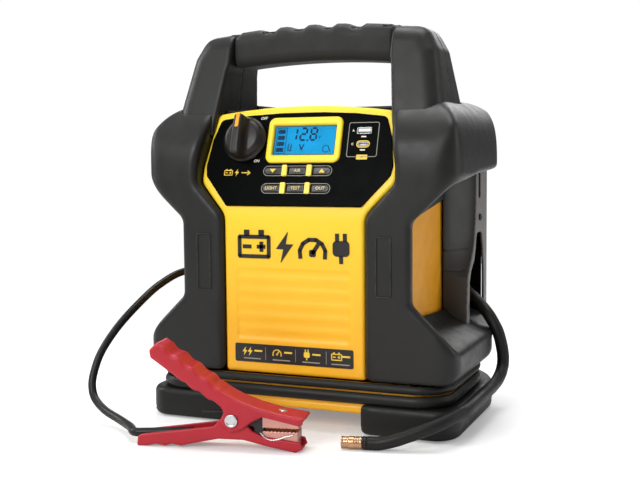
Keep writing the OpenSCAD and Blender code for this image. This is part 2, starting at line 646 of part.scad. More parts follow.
// A torsion spring: close coils round the pin, and a leg towards each handle
spring_wire = 1.8;
spring_coils = 7;
module spring() {
    inner_r = pin_r + 0.7;
    half_l = spring_coils * spring_wire / 2;
    ridges = [for (k = [0:2 * spring_coils]) [inner_r + spring_wire - 0.4 * ((k + 1) % 2), k * spring_wire / 2 - half_l]];
    translate([pivot_at[0], 0, pivot_at[1]]) {
        rotate([90, 0, 0]) rotate_extrude() polygon(concat([[inner_r, -half_l]], ridges, [[inner_r, half_l]]));
        for (leg = [[-1, 150], [1, 196]]) translate([0, leg[0] * (half_l - spring_wire), 0]) rotate([0, -leg[1], 0])
            translate([0, 0, -leg[0] * (inner_r + spring_wire / 2)]) rotate([0, 90, 0]) cylinder(r = 0.7, h = 24);
    }
}

places = [red_place, black_place];

// ---------- parts ----------

front_cover();
mirror([1, 0, 0]) side_shell();  // left_side_shell
side_shell();  // right_side_shell
core_housing();
rear_cover();
top_deck();
base_tray();
bumper_ribs();
mirror([1, 0, 0]) foot();  // left_foot
foot();  // right_foot
rubber_pads();
handle_half(true);  // handle_front
handle_half(false);  // handle_rear
handle_grip();
control_panel();
display_bezel();
display_window();
display_module();
usb_sockets();
main_board();
rotary_switch();
front_labels();
mirror([1, 0, 0]) bay_cover();  // left_bay_cover
bay_cover();  // right_bay_cover
housing_screws();
battery();
battery_terminals();
compressor_motor();
compressor_frame();
motor_rotor();
crank_gear();
piston();
charger_board();
ac_inlet();
ac_flap();
lamp_lens();
lamp_reflector();
selector_knob();
knob_pointer();
key(0, 0);  // key_down
key(1, 0);  // key_air
key(2, 0);  // key_up
key(0, 1);  // key_light
key(1, 1);  // key_test
key(2, 1);  // key_usb
air_hose();
hose_ferrule();
air_chuck();
red_cable();
black_cable();
color([0.8, 0.15, 0.2]) at_clamp(red_place) clamp_lower();  // red_clamp_lower
color([0.8, 0.15, 0.2]) at_clamp(red_place) clamp_upper();  // red_clamp_upper
color([0.75, 0.5, 0.4]) at_clamp(red_place) jaw(0);  // red_jaw_lower
color([0.75, 0.5, 0.4]) at_clamp(red_place) jaw(1);  // red_jaw_upper
color([0.12, 0.12, 0.12]) at_clamp(black_place) clamp_lower();  // black_clamp_lower
color([0.12, 0.12, 0.12]) at_clamp(black_place) clamp_upper();  // black_clamp_upper
color([0.75, 0.5, 0.4]) at_clamp(black_place) jaw(0);  // black_jaw_lower
color([0.75, 0.5, 0.4]) at_clamp(black_place) jaw(1);  // black_jaw_upper
color([0.75, 0.75, 0.78]) for (p = places) at_clamp(p) {  // clamp_pins
    pivot_pin();
    pivot_heads();
}
color([0.1, 0.1, 0.1]) for (p = places) at_clamp(p) spring();  // clamp_springs
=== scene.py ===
"""The looks of the jump starter pack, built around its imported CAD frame.

Shapes are worked out in millimetres in the part's own frame: X to the pack's right, Y into the pack, Z up.
Moulded parts are distance fields, meshed on a grid and pulled on to the field's surface.
"""

import json
import math

import bmesh
import bpy
import numpy as np
from mathutils import Matrix, Vector


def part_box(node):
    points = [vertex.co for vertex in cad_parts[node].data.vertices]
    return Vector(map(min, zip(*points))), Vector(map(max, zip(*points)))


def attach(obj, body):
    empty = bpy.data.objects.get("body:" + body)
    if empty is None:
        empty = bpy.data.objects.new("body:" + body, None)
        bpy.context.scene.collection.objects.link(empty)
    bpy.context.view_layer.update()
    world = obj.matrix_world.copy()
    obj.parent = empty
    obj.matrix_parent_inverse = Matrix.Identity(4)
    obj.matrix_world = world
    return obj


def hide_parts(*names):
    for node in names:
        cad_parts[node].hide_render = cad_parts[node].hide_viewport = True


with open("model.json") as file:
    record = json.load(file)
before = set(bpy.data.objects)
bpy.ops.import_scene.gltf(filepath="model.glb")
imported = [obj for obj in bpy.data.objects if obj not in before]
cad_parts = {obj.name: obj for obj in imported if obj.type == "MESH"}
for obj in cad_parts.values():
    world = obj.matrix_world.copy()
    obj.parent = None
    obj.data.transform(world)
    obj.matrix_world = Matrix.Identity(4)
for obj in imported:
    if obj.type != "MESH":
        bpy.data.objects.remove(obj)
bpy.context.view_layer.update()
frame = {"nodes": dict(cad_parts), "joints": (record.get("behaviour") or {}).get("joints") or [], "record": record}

MM = 0.001


# ---------- sizes taken from the frame ----------

def corners(node):
    """A CAD node's lowest and highest corners, in millimetres."""
    low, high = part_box(node)
    return np.array(low) / MM, np.array(high) / MM


def joint(name):
    """A joint's place in millimetres, and its axis."""
    found = next(j for j in frame["joints"] if j["name"] == name)
    return np.array(found.get("pos_m", (0, 0, 0))) / MM, np.array(found["axis"])


shell_low, shell_high = corners("right_side_shell")
HALF_W = shell_high[0]
FACE_Y, SPLIT_Y = shell_low[1], shell_high[1]
HIP_Z, TOP_Z = shell_low[2], shell_high[2]
BACK_Y = corners("rear_cover")[1][1]
COVER_Y = corners("front_cover")[0][1]
HANDLE_Z = corners("handle_grip")[1][2]
GRIP_X = corners("handle_grip")[1][0]
BAY_X = corners("right_bay_cover")[1][0]
CORE_X = corners("core_housing")[1][0]
FOOT_X = corners("right_foot")[1][0]
FOOT_IN = corners("right_foot")[0][0]
HALF_D = corners("right_foot")[1][1]
RIB_X = corners("bumper_ribs")[1][0]
TRAY_X = corners("base_tray")[1][0]
SLOT_X = corners("top_deck")[1][0]
WALL = 3.0
GAP = 0.3
WAIST_X = 106.0
PANEL_Z = 190.0
DECK_Z = corners("top_deck")[1][2]

knob_at, panel_out = joint("selector_turn")
ACROSS = np.array([1.0, 0.0, 0.0])
UP = np.array([0.0, 0.0, 1.0])
TO_FRONT = np.array([0.0, -1.0, 0.0])
UPSLOPE = np.cross(panel_out, ACROSS)
PANEL_AT = np.array([0.0, COVER_Y, PANEL_Z])


# ---------- distance fields ----------

def length(*parts):
    return np.sqrt(sum(p * p for p in parts))


def smax(a, b, k):
    """The larger of a and b, with the crease between them rounded over about k."""
    if k <= 0:
        return np.maximum(a, b)
    h = np.maximum(k - np.abs(a - b), 0) / k
    return np.maximum(a, b) + h * h * k / 4


def smin(a, b, k):
    return -smax(-a, -b, k)


def rect(u, v, half_u, half_v, r=0.0):
    """A rectangle about the origin, with corners of radius r."""
    qu, qv = np.abs(u) - half_u + r, np.abs(v) - half_v + r
    return length(np.maximum(qu, 0), np.maximum(qv, 0)) + np.minimum(np.maximum(qu, qv), 0) - r


def slab(u, low, high):
    return np.maximum(low - u, u - high)


def edge(u, v, a, b):
    """Signed distance to the line from a to b: negative on its left."""
    du, dv = b[0] - a[0], b[1] - a[1]
    return ((u - a[0]) * dv - (v - a[1]) * du) / math.hypot(du, dv)


def capsule(x, y, z, a, b, r):
    a, b = np.array(a, float), np.array(b, float)
    d = b - a
    t = np.clip(((x - a[0]) * d[0] + (y - a[1]) * d[1] + (z - a[2]) * d[2]) / (d @ d), 0, 1)
    return length(x - a[0] - t * d[0], y - a[1] - t * d[1], z - a[2] - t * d[2]) - r


def arc(centre, radii, start, end, steps=8):
    angles = np.radians(np.linspace(start, end, steps + 1))
    return [(centre[0] + radii[0] * math.cos(a), centre[1] + radii[1] * math.sin(a)) for a in angles]


def filleted(points, steps=6):
    """An outline of (u, v, radius) corners, each rounded by an arc of its radius."""
    out = []
    for i, (u, v, r) in enumerate(points):
        p = np.array([u, v], float)
        a = np.array(points[i - 1][:2], float) - p
        b = np.array(points[(i + 1) % len(points)][:2], float) - p
        a, b = a / np.linalg.norm(a), b / np.linalg.norm(b)
        turn = math.acos(max(-1, min(1, a @ b)))
        if r <= 0 or turn > 3.1:
            out.append((u, v))
            continue
        reach = r / math.tan(turn / 2)
        for k in range(steps + 1):
            t = k / steps
            # a quadratic curve from one tangent point to the other, bent to the corner
            q = p + a * reach * (1 - t) ** 2 + b * reach * t ** 2
            out.append(tuple(q))
    return out


def outline_distance(u, v, points):
    """Signed distance to a closed outline."""
    best = np.full(np.shape(u), 1e9)
    inside = np.zeros(np.shape(u), bool)
    for i, (au, av) in enumerate(points):
        bu, bv = points[(i + 1) % len(points)]
        du, dv = bu - au, bv - av
        if du * du + dv * dv < 1e-9:
            continue
        t = np.clip(((u - au) * du + (v - av) * dv) / (du * du + dv * dv), 0, 1)
        best = np.minimum(best, (u - au - t * du) ** 2 + (v - av - t * dv) ** 2)
        if dv:
            inside ^= ((av > v) != (bv > v)) & (u < au + (v - av) * du / dv)
    return np.where(inside, -1, 1) * np.sqrt(best)


class Profile:
    """Signed distance to a closed outline, read from a fine square grid."""

    def __init__(self, points, pitch=0.5, margin=14.0):
        points = [tuple(float(c) for c in p[:2]) for p in points]
        self.pitch = pitch
        self.low = np.min(points, 0) - margin
        count = np.ceil((np.max(points, 0) + margin - self.low) / pitch).astype(int) + 2
        u, v = np.meshgrid(*(self.low[i] + pitch * np.arange(count[i]) for i in (0, 1)), indexing="ij")
        self.grid = outline_distance(u, v, points)

    def __call__(self, u, v):
        a = np.clip((u - self.low[0]) / self.pitch, 0, self.grid.shape[0] - 1.001)
        b = np.clip((v - self.low[1]) / self.pitch, 0, self.grid.shape[1] - 1.001)
        i, j = a.astype(int), b.astype(int)
        s, t = a - i, b - j
        g = self.grid
        near = g[i, j] * (1 - s) + g[i + 1, j] * s
        far = g[i, j + 1] * (1 - s) + g[i + 1, j + 1] * s
        return near * (1 - t) + far * t


# ---------- meshing ----------

BLOCK = 8


def sample(field, low, high, step):
    """The field on a grid, worked out only in the blocks its surface may cross."""
    blocks = np.maximum(np.ceil((high - low) / (step * BLOCK)).astype(int), 1)
    axes = [low[i] + step * BLOCK * (np.arange(blocks[i]) + 0.5) - step / 2 for i in range(3)]
    middle = field(*np.meshgrid(*axes, indexing="ij"))
    reach = step * BLOCK * math.sqrt(3) / 2 + step
    grid = np.where(middle < 0, -reach, reach).astype(np.float32)
    for axis in range(3):
        grid = np.repeat(grid, BLOCK, axis)
    near = np.argwhere(np.abs(middle) <= reach)
    offsets = np.indices((BLOCK,) * 3).reshape(3, -1)
    for part in np.array_split(near, max(1, len(near) // 1500)):
        ijk = part[:, :, None] * BLOCK + offsets[None]
        at = [low[i] + step * ijk[:, i] for i in range(3)]
        grid[ijk[:, 0], ijk[:, 1], ijk[:, 2]] = field(*at)
    return grid


def surface_net(grid):
    """Vertices, in grid steps, and quads of the surface where the grid changes sign."""
    inside = grid < 0
    corner = [(i, j, k) for i in (0, 1) for j in (0, 1) for k in (0, 1)]
    nx, ny, nz = (n - 1 for n in grid.shape)
    count = sum(inside[i:nx + i, j:ny + j, k:nz + k].astype(np.uint8) for i, j, k in corner)
    active = (count > 0) & (count < 8)
    ids = np.full(active.shape, -1, np.int64)
    ids[active] = np.arange(active.sum())
    cells = np.argwhere(active)
    values = {c: grid[tuple((cells + c).T)] for c in corner}
    total = np.zeros((len(cells), 3))
    crossings = np.zeros(len(cells))
    for a in corner:
        for axis in range(3):
            if a[axis]:
                continue
            b = tuple(1 if n == axis else a[n] for n in range(3))
            va, vb = values[a], values[b]
            cross = (va < 0) != (vb < 0)
            t = np.where(cross, va / np.where(cross, va - vb, 1), 0)
            point = np.array(a, float) + t[:, None] * (np.array(b, float) - np.array(a, float))
            total += point * cross[:, None]
            crossings += cross
    verts = cells + total / crossings[:, None]
    quads = []
    for axis in range(3):
        u, w = (axis + 1) % 3, (axis + 2) % 3
        at = np.argwhere(np.diff(inside, axis=axis))
        at = at[(at[:, u] > 0) & (at[:, w] > 0) & (at[:, u] < ids.shape[u]) & (at[:, w] < ids.shape[w])]
        leaving = inside[tuple(at.T)]
        ring = []
        for du, dw in ((0, 0), (-1, 0), (-1, -1), (0, -1)):
            c = at.copy()
            c[:, u] += du
            c[:, w] += dw
            ring.append(ids[tuple(c.T)])
        ring = np.stack(ring, 1)
        ring[~leaving] = ring[~leaving][:, ::-1]
        quads.append(ring)
    return verts, np.concatenate(quads)


def settle(points, field, step, rounds=4):
    """Moves points on to the field's surface, each by less than a grid step."""
    start = points.copy()
    eps = 0.06 * step
    for _ in range(rounds):
        value = field(*points.T)
        rises = [field(*(points + e).T) - field(*(points - e).T) for e in eps * np.eye(3)]
        slope = np.stack(rises, 1) / (2 * eps)
        size = np.maximum((slope ** 2).sum(1), 0.25)
        points = points - (value / size)[:, None] * slope
        moved = points - start
        far = np.linalg.norm(moved, axis=1)
        points = start + moved * np.minimum(1, 0.8 * step / np.maximum(far, 1e-9))[:, None]
    return points


def mesh_of(name, verts, faces):
    """A mesh from arrays of vertices in millimetres and faces of one size."""
    data = bpy.data.meshes.new(name)
    size = faces.shape[1]
    data.vertices.add(len(verts))
    data.vertices.foreach_set("co", (np.asarray(verts) * MM).astype(np.float32).ravel())
    data.loops.add(faces.size)
    data.loops.foreach_set("vertex_index", faces.astype(np.int32).ravel())
    data.polygons.add(len(faces))
    data.polygons.foreach_set("loop_start", np.arange(0, faces.size, size, dtype=np.int32))
    data.polygons.foreach_set("use_smooth", np.ones(len(faces), bool))
    data.update(calc_edges=True)
    data.validate()
    return data


def place(verts, at, axes):
    """Points given along three axes from a point, in the part's frame."""
    return np.asarray(verts) @ np.array(axes) + np.array(at)


PANEL = (PANEL_AT, (ACROSS, UPSLOPE, panel_out))


def piece(data, material, node=None, slot=None, body="housing"):
    """Adds a mesh to the scene as a piece that rides on a body, and may stand for a CAD node."""
    obj = bpy.data.objects.new(data.name, data)
    bpy.context.scene.collection.objects.link(obj)
    data.materials.clear()
    data.materials.append(material)
    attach(obj, body)
    if node:
        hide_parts(node)


def moulded(name, field, low, high, step, frame_of=None):
    """The mesh of a field between two corners, placed by frame_of."""
    low, high = np.array(low, float) - 2 * step, np.array(high, float) + 2 * step
    verts, quads = surface_net(sample(field, low, high, step))
    verts = settle(low + verts * step, field, step)
    if frame_of:
        verts = place(verts, *frame_of)
    return mesh_of(name, verts, quads)


def mould(name, field, low, high, step, material, node=None, slot=None, body="housing", at=None):
    """Adds the piece that a field describes."""
    piece(moulded(name, field, low, high, step, at), material, node, slot, body)


def tube_mesh(name, points, radius, steps=8, sides=20, ripple=None):
    """A round tube along a smooth curve through the points; ripple gives a change of radius along it."""
    points = np.array(points, float)
    path = []
    for i in range(len(points) - 1):
        a, b, c, d = points[max(i - 1, 0)], points[i], points[i + 1], points[min(i + 2, len(points) - 1)]
        for k in range(steps):
            t = k / steps
            path.append(0.5 * (2 * b + (c - a) * t + (2 * a - 5 * b + 4 * c - d) * t ** 2
                               + (3 * b - a - 3 * c + d) * t ** 3))
    path.append(points[-1])
    path = np.array(path)
    ahead = np.gradient(path, axis=0)
    ahead /= np.linalg.norm(ahead, axis=1)[:, None]
    side = np.zeros_like(path)
    last = np.cross(ahead[0], (0.3, 0.2, 1))
    for i, direction in enumerate(ahead):
        last = last - direction * (last @ direction)
        last = side[i] = last / np.linalg.norm(last)
    up = np.cross(side, ahead)
    angle = np.linspace(0, 2 * math.pi, sides, endpoint=False)
    rings = []
    run = np.concatenate([[0], np.cumsum(np.linalg.norm(np.diff(path, axis=0), axis=1))])
    for p, u, v, s in zip(path, side, up, run):
        r = radius + (ripple(s) if ripple else 0)
        rings.append(p + r * (np.cos(angle)[:, None] * u + np.sin(angle)[:, None] * v))
    verts = np.concatenate(rings + [path[:1], path[-1:]])
    quads = []
    n = len(path)
    for i in range(n - 1):
        for k in range(sides):
            m = (k + 1) % sides
            quads.append((i * sides + k, i * sides + m, (i + 1) * sides + m, (i + 1) * sides + k))
    caps = []
    for k in range(sides):
        m = (k + 1) % sides
        caps.append((n * sides, m, k))
        caps.append((n * sides + 1, (n - 1) * sides + k, (n - 1) * sides + m))
    data = bpy.data.meshes.new(name)
    data.from_pydata([tuple(v * MM) for v in verts], [], quads + caps)
    data.polygons.foreach_set("use_smooth", [True] * len(data.polygons))
    data.update()
    return data


def plate(name, outlines, low, high, frame_of, lift=None):
    """Flat shapes, each a closed outline in a frame's first two directions, between two depths."""
    mesh = bmesh.new()
    at, axes = frame_of
    axes = np.array(axes)
    for outline in outlines:
        outline = [p for i, p in enumerate(outline) if math.dist(p, outline[i - 1]) > 1e-4]
        area = sum(a[0] * b[1] - a[1] * b[0] for a, b in zip(outline, outline[1:] + outline[:1]))
        if area < 0:
            outline = outline[::-1]
        rings = []
        for depth in (low, high):
            points = [(np.array((u, v, depth)) @ axes + at) * MM for u, v in outline]
            rings.append([mesh.verts.new(tuple(p)) for p in points])
        mesh.faces.new(rings[1])
        mesh.faces.new(rings[0][::-1])
        for i in range(len(outline)):
            a, b = rings[0][i], rings[0][(i + 1) % len(outline)]
            c, d = rings[1][(i + 1) % len(outline)], rings[1][i]
            mesh.faces.new((a, b, c, d))
    mesh.normal_update()
    bmesh.ops.triangulate(mesh, faces=[f for f in mesh.faces if len(f.verts) > 4])
    data = bpy.data.meshes.new(name)
    mesh.to_mesh(data)
    mesh.free()
    return data


def oblong(u, v, half_u, half_v, r, steps=5):
    """The outline of a rectangle with round corners."""
    out = []
    for i, (su, sv) in enumerate(((1, 1), (-1, 1), (-1, -1), (1, -1))):
        out += arc((u + su * (half_u - r), v + sv * (half_v - r)), (r, r), 90 * i, 90 * i + 90, steps)
    return out


def stroke(points, width):
    """Outlines of straight bars, each from one point to the next."""
    bars = []
    for a, b in zip(points, points[1:]):
        d = np.array(b, float) - np.array(a, float)
        n = np.array((-d[1], d[0])) / np.linalg.norm(d) * width / 2
        e = d / np.linalg.norm(d) * width * 0.2
        bars.append([tuple(np.array(a) - e + n), tuple(np.array(a) - e - n), tuple(np.array(b) + e - n),
                     tuple(np.array(b) + e + n)])
    return bars


def ring(outer, inner):
    """Outlines of the band between two outlines with the same number of points."""
    n = len(outer)
    return [[outer[i], outer[(i + 1) % n], inner[(i + 1) % n], inner[i]] for i in range(n)]


def letters(name, items, low, high, frame_of, lean=0.0):
    """Plain lettering: items of (text, u, v, height), centred, as raised mesh."""
    at, axes = frame_of
    axes = np.array(axes)
    verts, faces = [], []
    for text, u, v, size in items:
        curve = bpy.data.curves.new("lettering", "FONT")
        curve.body, curve.size = text, size
        curve.shear = lean
        curve.align_x, curve.align_y = "CENTER", "CENTER"
        curve.extrude = (high - low) / 2
        curve.offset = size * 0.02
        curve.resolution_u = 3
        holder = bpy.data.objects.new("lettering", curve)
        flat = holder.to_mesh()
        start = len(verts)
        verts += [(np.array((p.co.x + u, p.co.y + v, p.co.z + (low + high) / 2)) @ axes + at) * MM
                  for p in flat.vertices]
        faces += [[start + i for i in f.vertices] for f in flat.polygons]
        holder.to_mesh_clear()
        bpy.data.objects.remove(holder)
        bpy.data.curves.remove(curve)
    data = bpy.data.meshes.new(name)
    data.from_pydata([tuple(p) for p in verts], [], faces)
    data.update()
    return data


def mirrored(data):
    """The left side's copy of a mesh of the right side."""
    copy = data.copy()
    copy.name = data.name.replace("right", "left")
    copy.transform(Matrix.Diagonal((-1, 1, 1, 1)))
    copy.flip_normals()
    copy.update()
    return copy


def both_sides(data, material, node=None, slot=None):
    """Adds a mesh of the right side and its mirror image."""
    for side, mesh in (("right", data), ("left", mirrored(data))):
        piece(mesh, material, f"{side}_{node}" if node else None, slot)


# ---------- materials ----------

class Shader:
    """The shader nodes of a material or of the world, added by type."""

    def __init__(self, owner, output="OutputMaterial"):
        self.owner = owner
        owner.use_nodes = True
        self.tree = owner.node_tree
        self.tree.nodes.clear()
        self.out = self.add(output)
        self.coords = self.add("TexCoord").outputs["Object"]

    def add(self, kind, **settings):
        node = self.tree.nodes.new("ShaderNode" + kind)
        for key, value in settings.items():
            setattr(node, key, value)
        return node

    def link(self, source, target):
        self.tree.links.new(source, target)

    def noise(self, scale, detail=3.0, rough=0.5, stretch=None):
        """Noise of the given scale per metre, as a value near 0.5."""
        node = self.add("TexNoise")
        node.inputs["Scale"].default_value = scale
        node.inputs["Detail"].default_value = detail
        node.inputs["Roughness"].default_value = rough
        source = self.coords
        if stretch:
            mapping = self.add("Mapping")
            mapping.inputs["Scale"].default_value = stretch
            self.link(source, mapping.inputs["Vector"])
            source = mapping.outputs["Vector"]
        self.link(source, node.inputs["Vector"])
        return node.outputs["Fac"]

    def ramp(self, value, low, high, at=(0.0, 1.0)):
        """Maps value from the range at to low..high."""
        node = self.add("MapRange")
        node.inputs["From Min"].default_value, node.inputs["From Max"].default_value = at
        node.inputs["To Min"].default_value, node.inputs["To Max"].default_value = low, high
        self.link(value, node.inputs["Value"])
        return node.outputs["Result"]

    def mix(self, factor, a, b):
        """A colour from a to b by factor; a and b are colours or sockets."""
        node = self.add("Mix", data_type="RGBA")
        self.link(factor, node.inputs["Factor"])
        for value, socket in ((a, node.inputs[6]), (b, node.inputs[7])):
            if isinstance(value, tuple):
                socket.default_value = (*value, 1)
            else:
                self.link(value, socket)
        return node.outputs[2]

    def camera_ray(self):
        return self.add("LightPath").outputs["Is Camera Ray"]

    def switch(self, factor, first, second):
        """Shows the first shader where factor is 0, and the second where it is 1."""
        node = self.add("MixShader")
        for i, source in enumerate((factor, first, second)):
            self.link(source, node.inputs[i])
        self.link(node.outputs[0], self.out.inputs["Surface"])

    def bump(self, height, strength, distance, base=None):
        node = self.add("Bump")
        node.inputs["Strength"].default_value = strength
        node.inputs["Distance"].default_value = distance
        self.link(height, node.inputs["Height"])
        if base:
            self.link(base, node.inputs["Normal"])
        return node.outputs["Normal"]


def linear(colour):
    """Linear components of a screen colour given as hexadecimal."""
    parts = [int(colour[i:i + 2], 16) / 255 for i in (0, 2, 4)]
    return tuple(p / 12.92 if p <= 0.04045 else ((p + 0.055) / 1.055) ** 2.4 for p in parts)


def shaded(colour, amount):
    return tuple(min(1.0, c * amount) for c in colour)


def finish(name, colour, rough, spread=0.08, grain=1500.0, grain_depth=0.00004, blotch=25.0, vary=0.12,
           wear=None, metallic=0.0, specular=0.5, stretch=None, glow=0.0, alpha=1.0, sheen=0.0, upper=None):
    """A surface with fine grain, uneven gloss and colour, and edges rubbed towards the colour wear.

    The colour fades into upper, if given, from the pack's foot to its panel: painted shade low down and a painted
    highlight towards the top, standing for the light from above.
    """
    s = Shader(bpy.data.materials.new(name))
    colour = linear(colour)
    shader = s.add("BsdfPrincipled")
    s.link(shader.outputs["BSDF"], s.out.inputs["Surface"])
    base = s.mix(s.ramp(s.noise(blotch, 5.0, 0.6), 0, 1, (0.3, 0.7)), shaded(colour, 1 - vary),
                 shaded(colour, 1 + vary))
    # painted shade and highlight: the colour turns to upper with height, lighter where the light from above falls
    if upper:
        split = s.add("SeparateXYZ")
        s.link(s.coords, split.inputs[0])
        base = s.mix(s.ramp(split.outputs["Z"], 0.0, 1.0, (0.08, 0.25)), base, linear(upper))
    smudge = s.noise(blotch * 2.7, 4.0, 0.65)
    gloss = s.ramp(smudge, rough - spread, rough + spread, (0.3, 0.7))
    if wear:
        point = s.add("NewGeometry").outputs["Pointiness"]
        rubbed = s.ramp(point, 0.0, 0.7, (0.53, 0.62))
        patchy = s.add("Math", operation="MULTIPLY")
        s.link(rubbed, patchy.inputs[0])
        s.link(s.ramp(s.noise(blotch * 6, 4.0, 0.6), 0.0, 1.0, (0.35, 0.7)), patchy.inputs[1])
        base = s.mix(patchy.outputs[0], base, linear(wear))
    s.link(base, shader.inputs["Base Color"])
    s.link(gloss, shader.inputs["Roughness"])
    fine = s.bump(s.noise(grain, 2.0, 0.5, stretch), 0.6, grain_depth)
    s.link(s.bump(s.noise(blotch * 1.6, 2.0), 0.25, 0.0004, fine), shader.inputs["Normal"])
    if glow:
        s.link(base, shader.inputs["Emission Color"])
    settings = {"Metallic": metallic, "Specular IOR Level": specular, "Sheen Weight": sheen, "Alpha": alpha,
                "Emission Strength": glow}
    for title, value in settings.items():
        shader.inputs[title].default_value = value
    return s.owner


black = finish("black_plastic", "1C1B1A", 0.42, wear="565452", specular=0.34)
base_black = finish("base_black_plastic", "191918", 0.46, wear="4E4C4A", specular=0.3)
# the yellow is painted darker and more orange low down and lighter at the panel end, as painted shade and painted
# highlight
yellow = finish("yellow_plastic", "FFB81C", 0.4, vary=0.05, wear="FFD870", grain_depth=0.00003,
                upper="FFE030")
gloss_black = finish("panel_film", "040505", 0.3, spread=0.06, specular=0.02, grain_depth=0.00001, vary=0.2)
grip_black = finish("grip_rubber", "1A1918", 0.6, specular=0.35, grain=900.0, grain_depth=0.0001, sheen=0.15,
                    wear="4A4948")
rubber = finish("hose_rubber", "141313", 0.48, specular=0.3, grain=700.0, grain_depth=0.00008, wear="3A3938")
cable_skin = finish("cable_skin", "0E0E0E", 0.4, specular=0.35, grain=900.0, grain_depth=0.00005,
                    wear="333333")
knob_black = finish("knob_plastic", "1D1917", 0.4, specular=0.35, wear="5A5553", grain_depth=0.00003)
orange = finish("pointer_paint", "FFA31A", 0.35, vary=0.06)
clamp_red = finish("clamp_red_plastic", "B01C2B", 0.42, specular=0.4, vary=0.08, wear="E9707A",
                   grain_depth=0.00005)
clamp_black = finish("clamp_black_plastic", "232222", 0.42, wear="555453")
insulator = finish("clamp_insulator", "1A1416", 0.55)
inlay_black = finish("grip_inlay", "0A0A0A", 0.75, specular=0.15, grain=800.0)
steel = finish("bright_steel", "C9CCCE", 0.26, metallic=1.0, grain=400.0, vary=0.06, grain_depth=0.00002)
copper = finish("jaw_copper", "C79287", 0.34, metallic=1.0, grain=600.0, vary=0.12, wear="F2C7B4")
brass = finish("chuck_brass", "C9A07E", 0.3, metallic=1.0, grain=500.0, vary=0.1, wear="E8C9A8")
screw_metal = finish("screw_black_oxide", "3A3A3B", 0.38, metallic=0.8, vary=0.1)
bezel_yellow = finish("bezel_plastic", "FFDC28", 0.36, vary=0.04, wear="FFE07A")
# painted shade: the core wall seen in the flank's pocket takes a darker, more orange copy of the yellow plastic
core_yellow_painted_shade = finish("core_plastic_painted_shade", "F2A61C", 0.42, vary=0.07, blotch=60.0)
key_black = finish("key_plastic", "0B0B0B", 0.3, wear="3A3A3A", grain_depth=0.00002)
bay_black = finish("bay_plastic", "363534", 0.5, wear="77746F")
# painted shade: a near-black sheet at the back of each cable bay stands for the shade inside the bay
bay_painted_shade = finish("liner_felt", "070707", 0.9, specular=0.05)
# painted sheen: the side plate is a paler grey than the bay's front wall, standing for the light it catches
bay_sheen_grey = finish("bay_plate_painted_sheen", "6E6C6A", 0.45, wear="9A9896")
spring_black = finish("spring_steel", "2A2B2D", 0.4, metallic=0.8, vary=0.15)
tongue_white = finish("socket_tongue", "F4F4F0", 0.4, vary=0.04)
pad_rubber = finish("pad_rubber", "171717", 0.7, grain=600.0, grain_depth=0.0001)
switch_black = finish("switch_plastic", "1C1C1D", 0.4, wear="4C4C4C")
ink_pale = finish("ink_cream", "E6E2CC", 0.5, vary=0.05)
ink_gold = finish("ink_gold", "D9C27A", 0.45, vary=0.06)
ink_grey = finish("ink_grey", "9A968B", 0.5, vary=0.05)
ink_yellow = finish("ink_yellow", "F5CE3E", 0.45, vary=0.05)
label_black = finish("label_film", "161313", 0.36, grain_depth=0.00002)
lcd_blue = finish("lcd_backlight", "0092CC", 0.4, specular=0.05, blotch=30.0, vary=0.15, glow=0.18)
lcd_ink = finish("lcd_segments", "0A1C40", 0.5, vary=0.1, specular=0.05)
board_green = finish("board_solder_mask", "14532D", 0.35, grain=250.0, vary=0.2)
battery_grey = finish("battery_case", "4A4C50", 0.5, wear="808285")
motor_paint = finish("motor_can", "6B6E73", 0.32, metallic=0.9, stretch=(1, 12, 12), grain=900.0)
alloy = finish("cast_alloy", "A8ABAE", 0.42, metallic=1.0, grain=350.0, grain_depth=0.00012)
nylon = finish("gear_nylon", "DAD6C4", 0.45, vary=0.05)
chrome = finish("reflector_chrome", "E6E7E8", 0.1, metallic=1.0, spread=0.04, grain_depth=0.00001)


def glass(name, colour, alpha, specular=0.5):
    return finish(name, colour, 0.08, spread=0.03, alpha=alpha, specular=specular, grain_depth=0.000005,
                  vary=0.02)


window_clear = glass("display_clear", "4FA8D8", 0.05, 0.03)
lamp_clear = glass("lamp_clear", "F2F7FA", 0.35)

# ---------- the body's outside ----------

REAR_R, FRONT_R = 67, 21


def bulge(centre, radii, start, end, power, steps=28):
    """Part of an oval, squarer than an ellipse when power is above 2."""
    out = []
    for a in np.radians(np.linspace(start, end, steps + 1)):
        c, t = math.cos(a), math.sin(a)
        out.append((centre[0] + radii[0] * math.copysign(abs(c) ** (2 / power), c),
                    centre[1] + radii[1] * math.copysign(abs(t) ** (2 / power), t)))
    return out


FLANK_TOP = bulge((HALF_W - 48, 226), (48, TOP_Z - 226), 0, 90, 2.3)


def flank(waist, low=180, high=217.5):
    """Half of the body's front outline, as (x, z), closed past the middle."""
    hip = HALF_W - 1
    lower = filleted([(-20, HIP_Z, 0), (hip - 8, HIP_Z, 3), (hip, HIP_Z + 9, 7), (hip, 73, 6),
                      (waist, 73 + 0.97 * (hip - waist), 9), (waist, low, 12), (HALF_W, high, 6),
                      (HALF_W, 226, 0)])
    return lower[:-1] + FLANK_TOP + [(-20, TOP_Z)]


front_outline = Profile(flank(WAIST_X))
rear_outline = Profile(flank(BAY_X - 1, 205, 221))
side_outline = Profile(arc((FACE_Y + 60, 218), (60, TOP_Z - 218), 180, 90, 28)
                       + arc((BACK_Y - 50, 236), (50, TOP_Z - 236), 90, 0, 20)
                       + [(BACK_Y, HIP_Z), (FACE_Y, HIP_Z)])


def plan_at(rear, front):
    return Profile(arc((HALF_W - rear, BACK_Y - rear), (rear, rear), 0, 90, 36)
                   + [(-20, BACK_Y), (-20, FACE_Y)] + arc((HALF_W - front, FACE_Y + front), (front, front),
                                                          270, 360, 20))


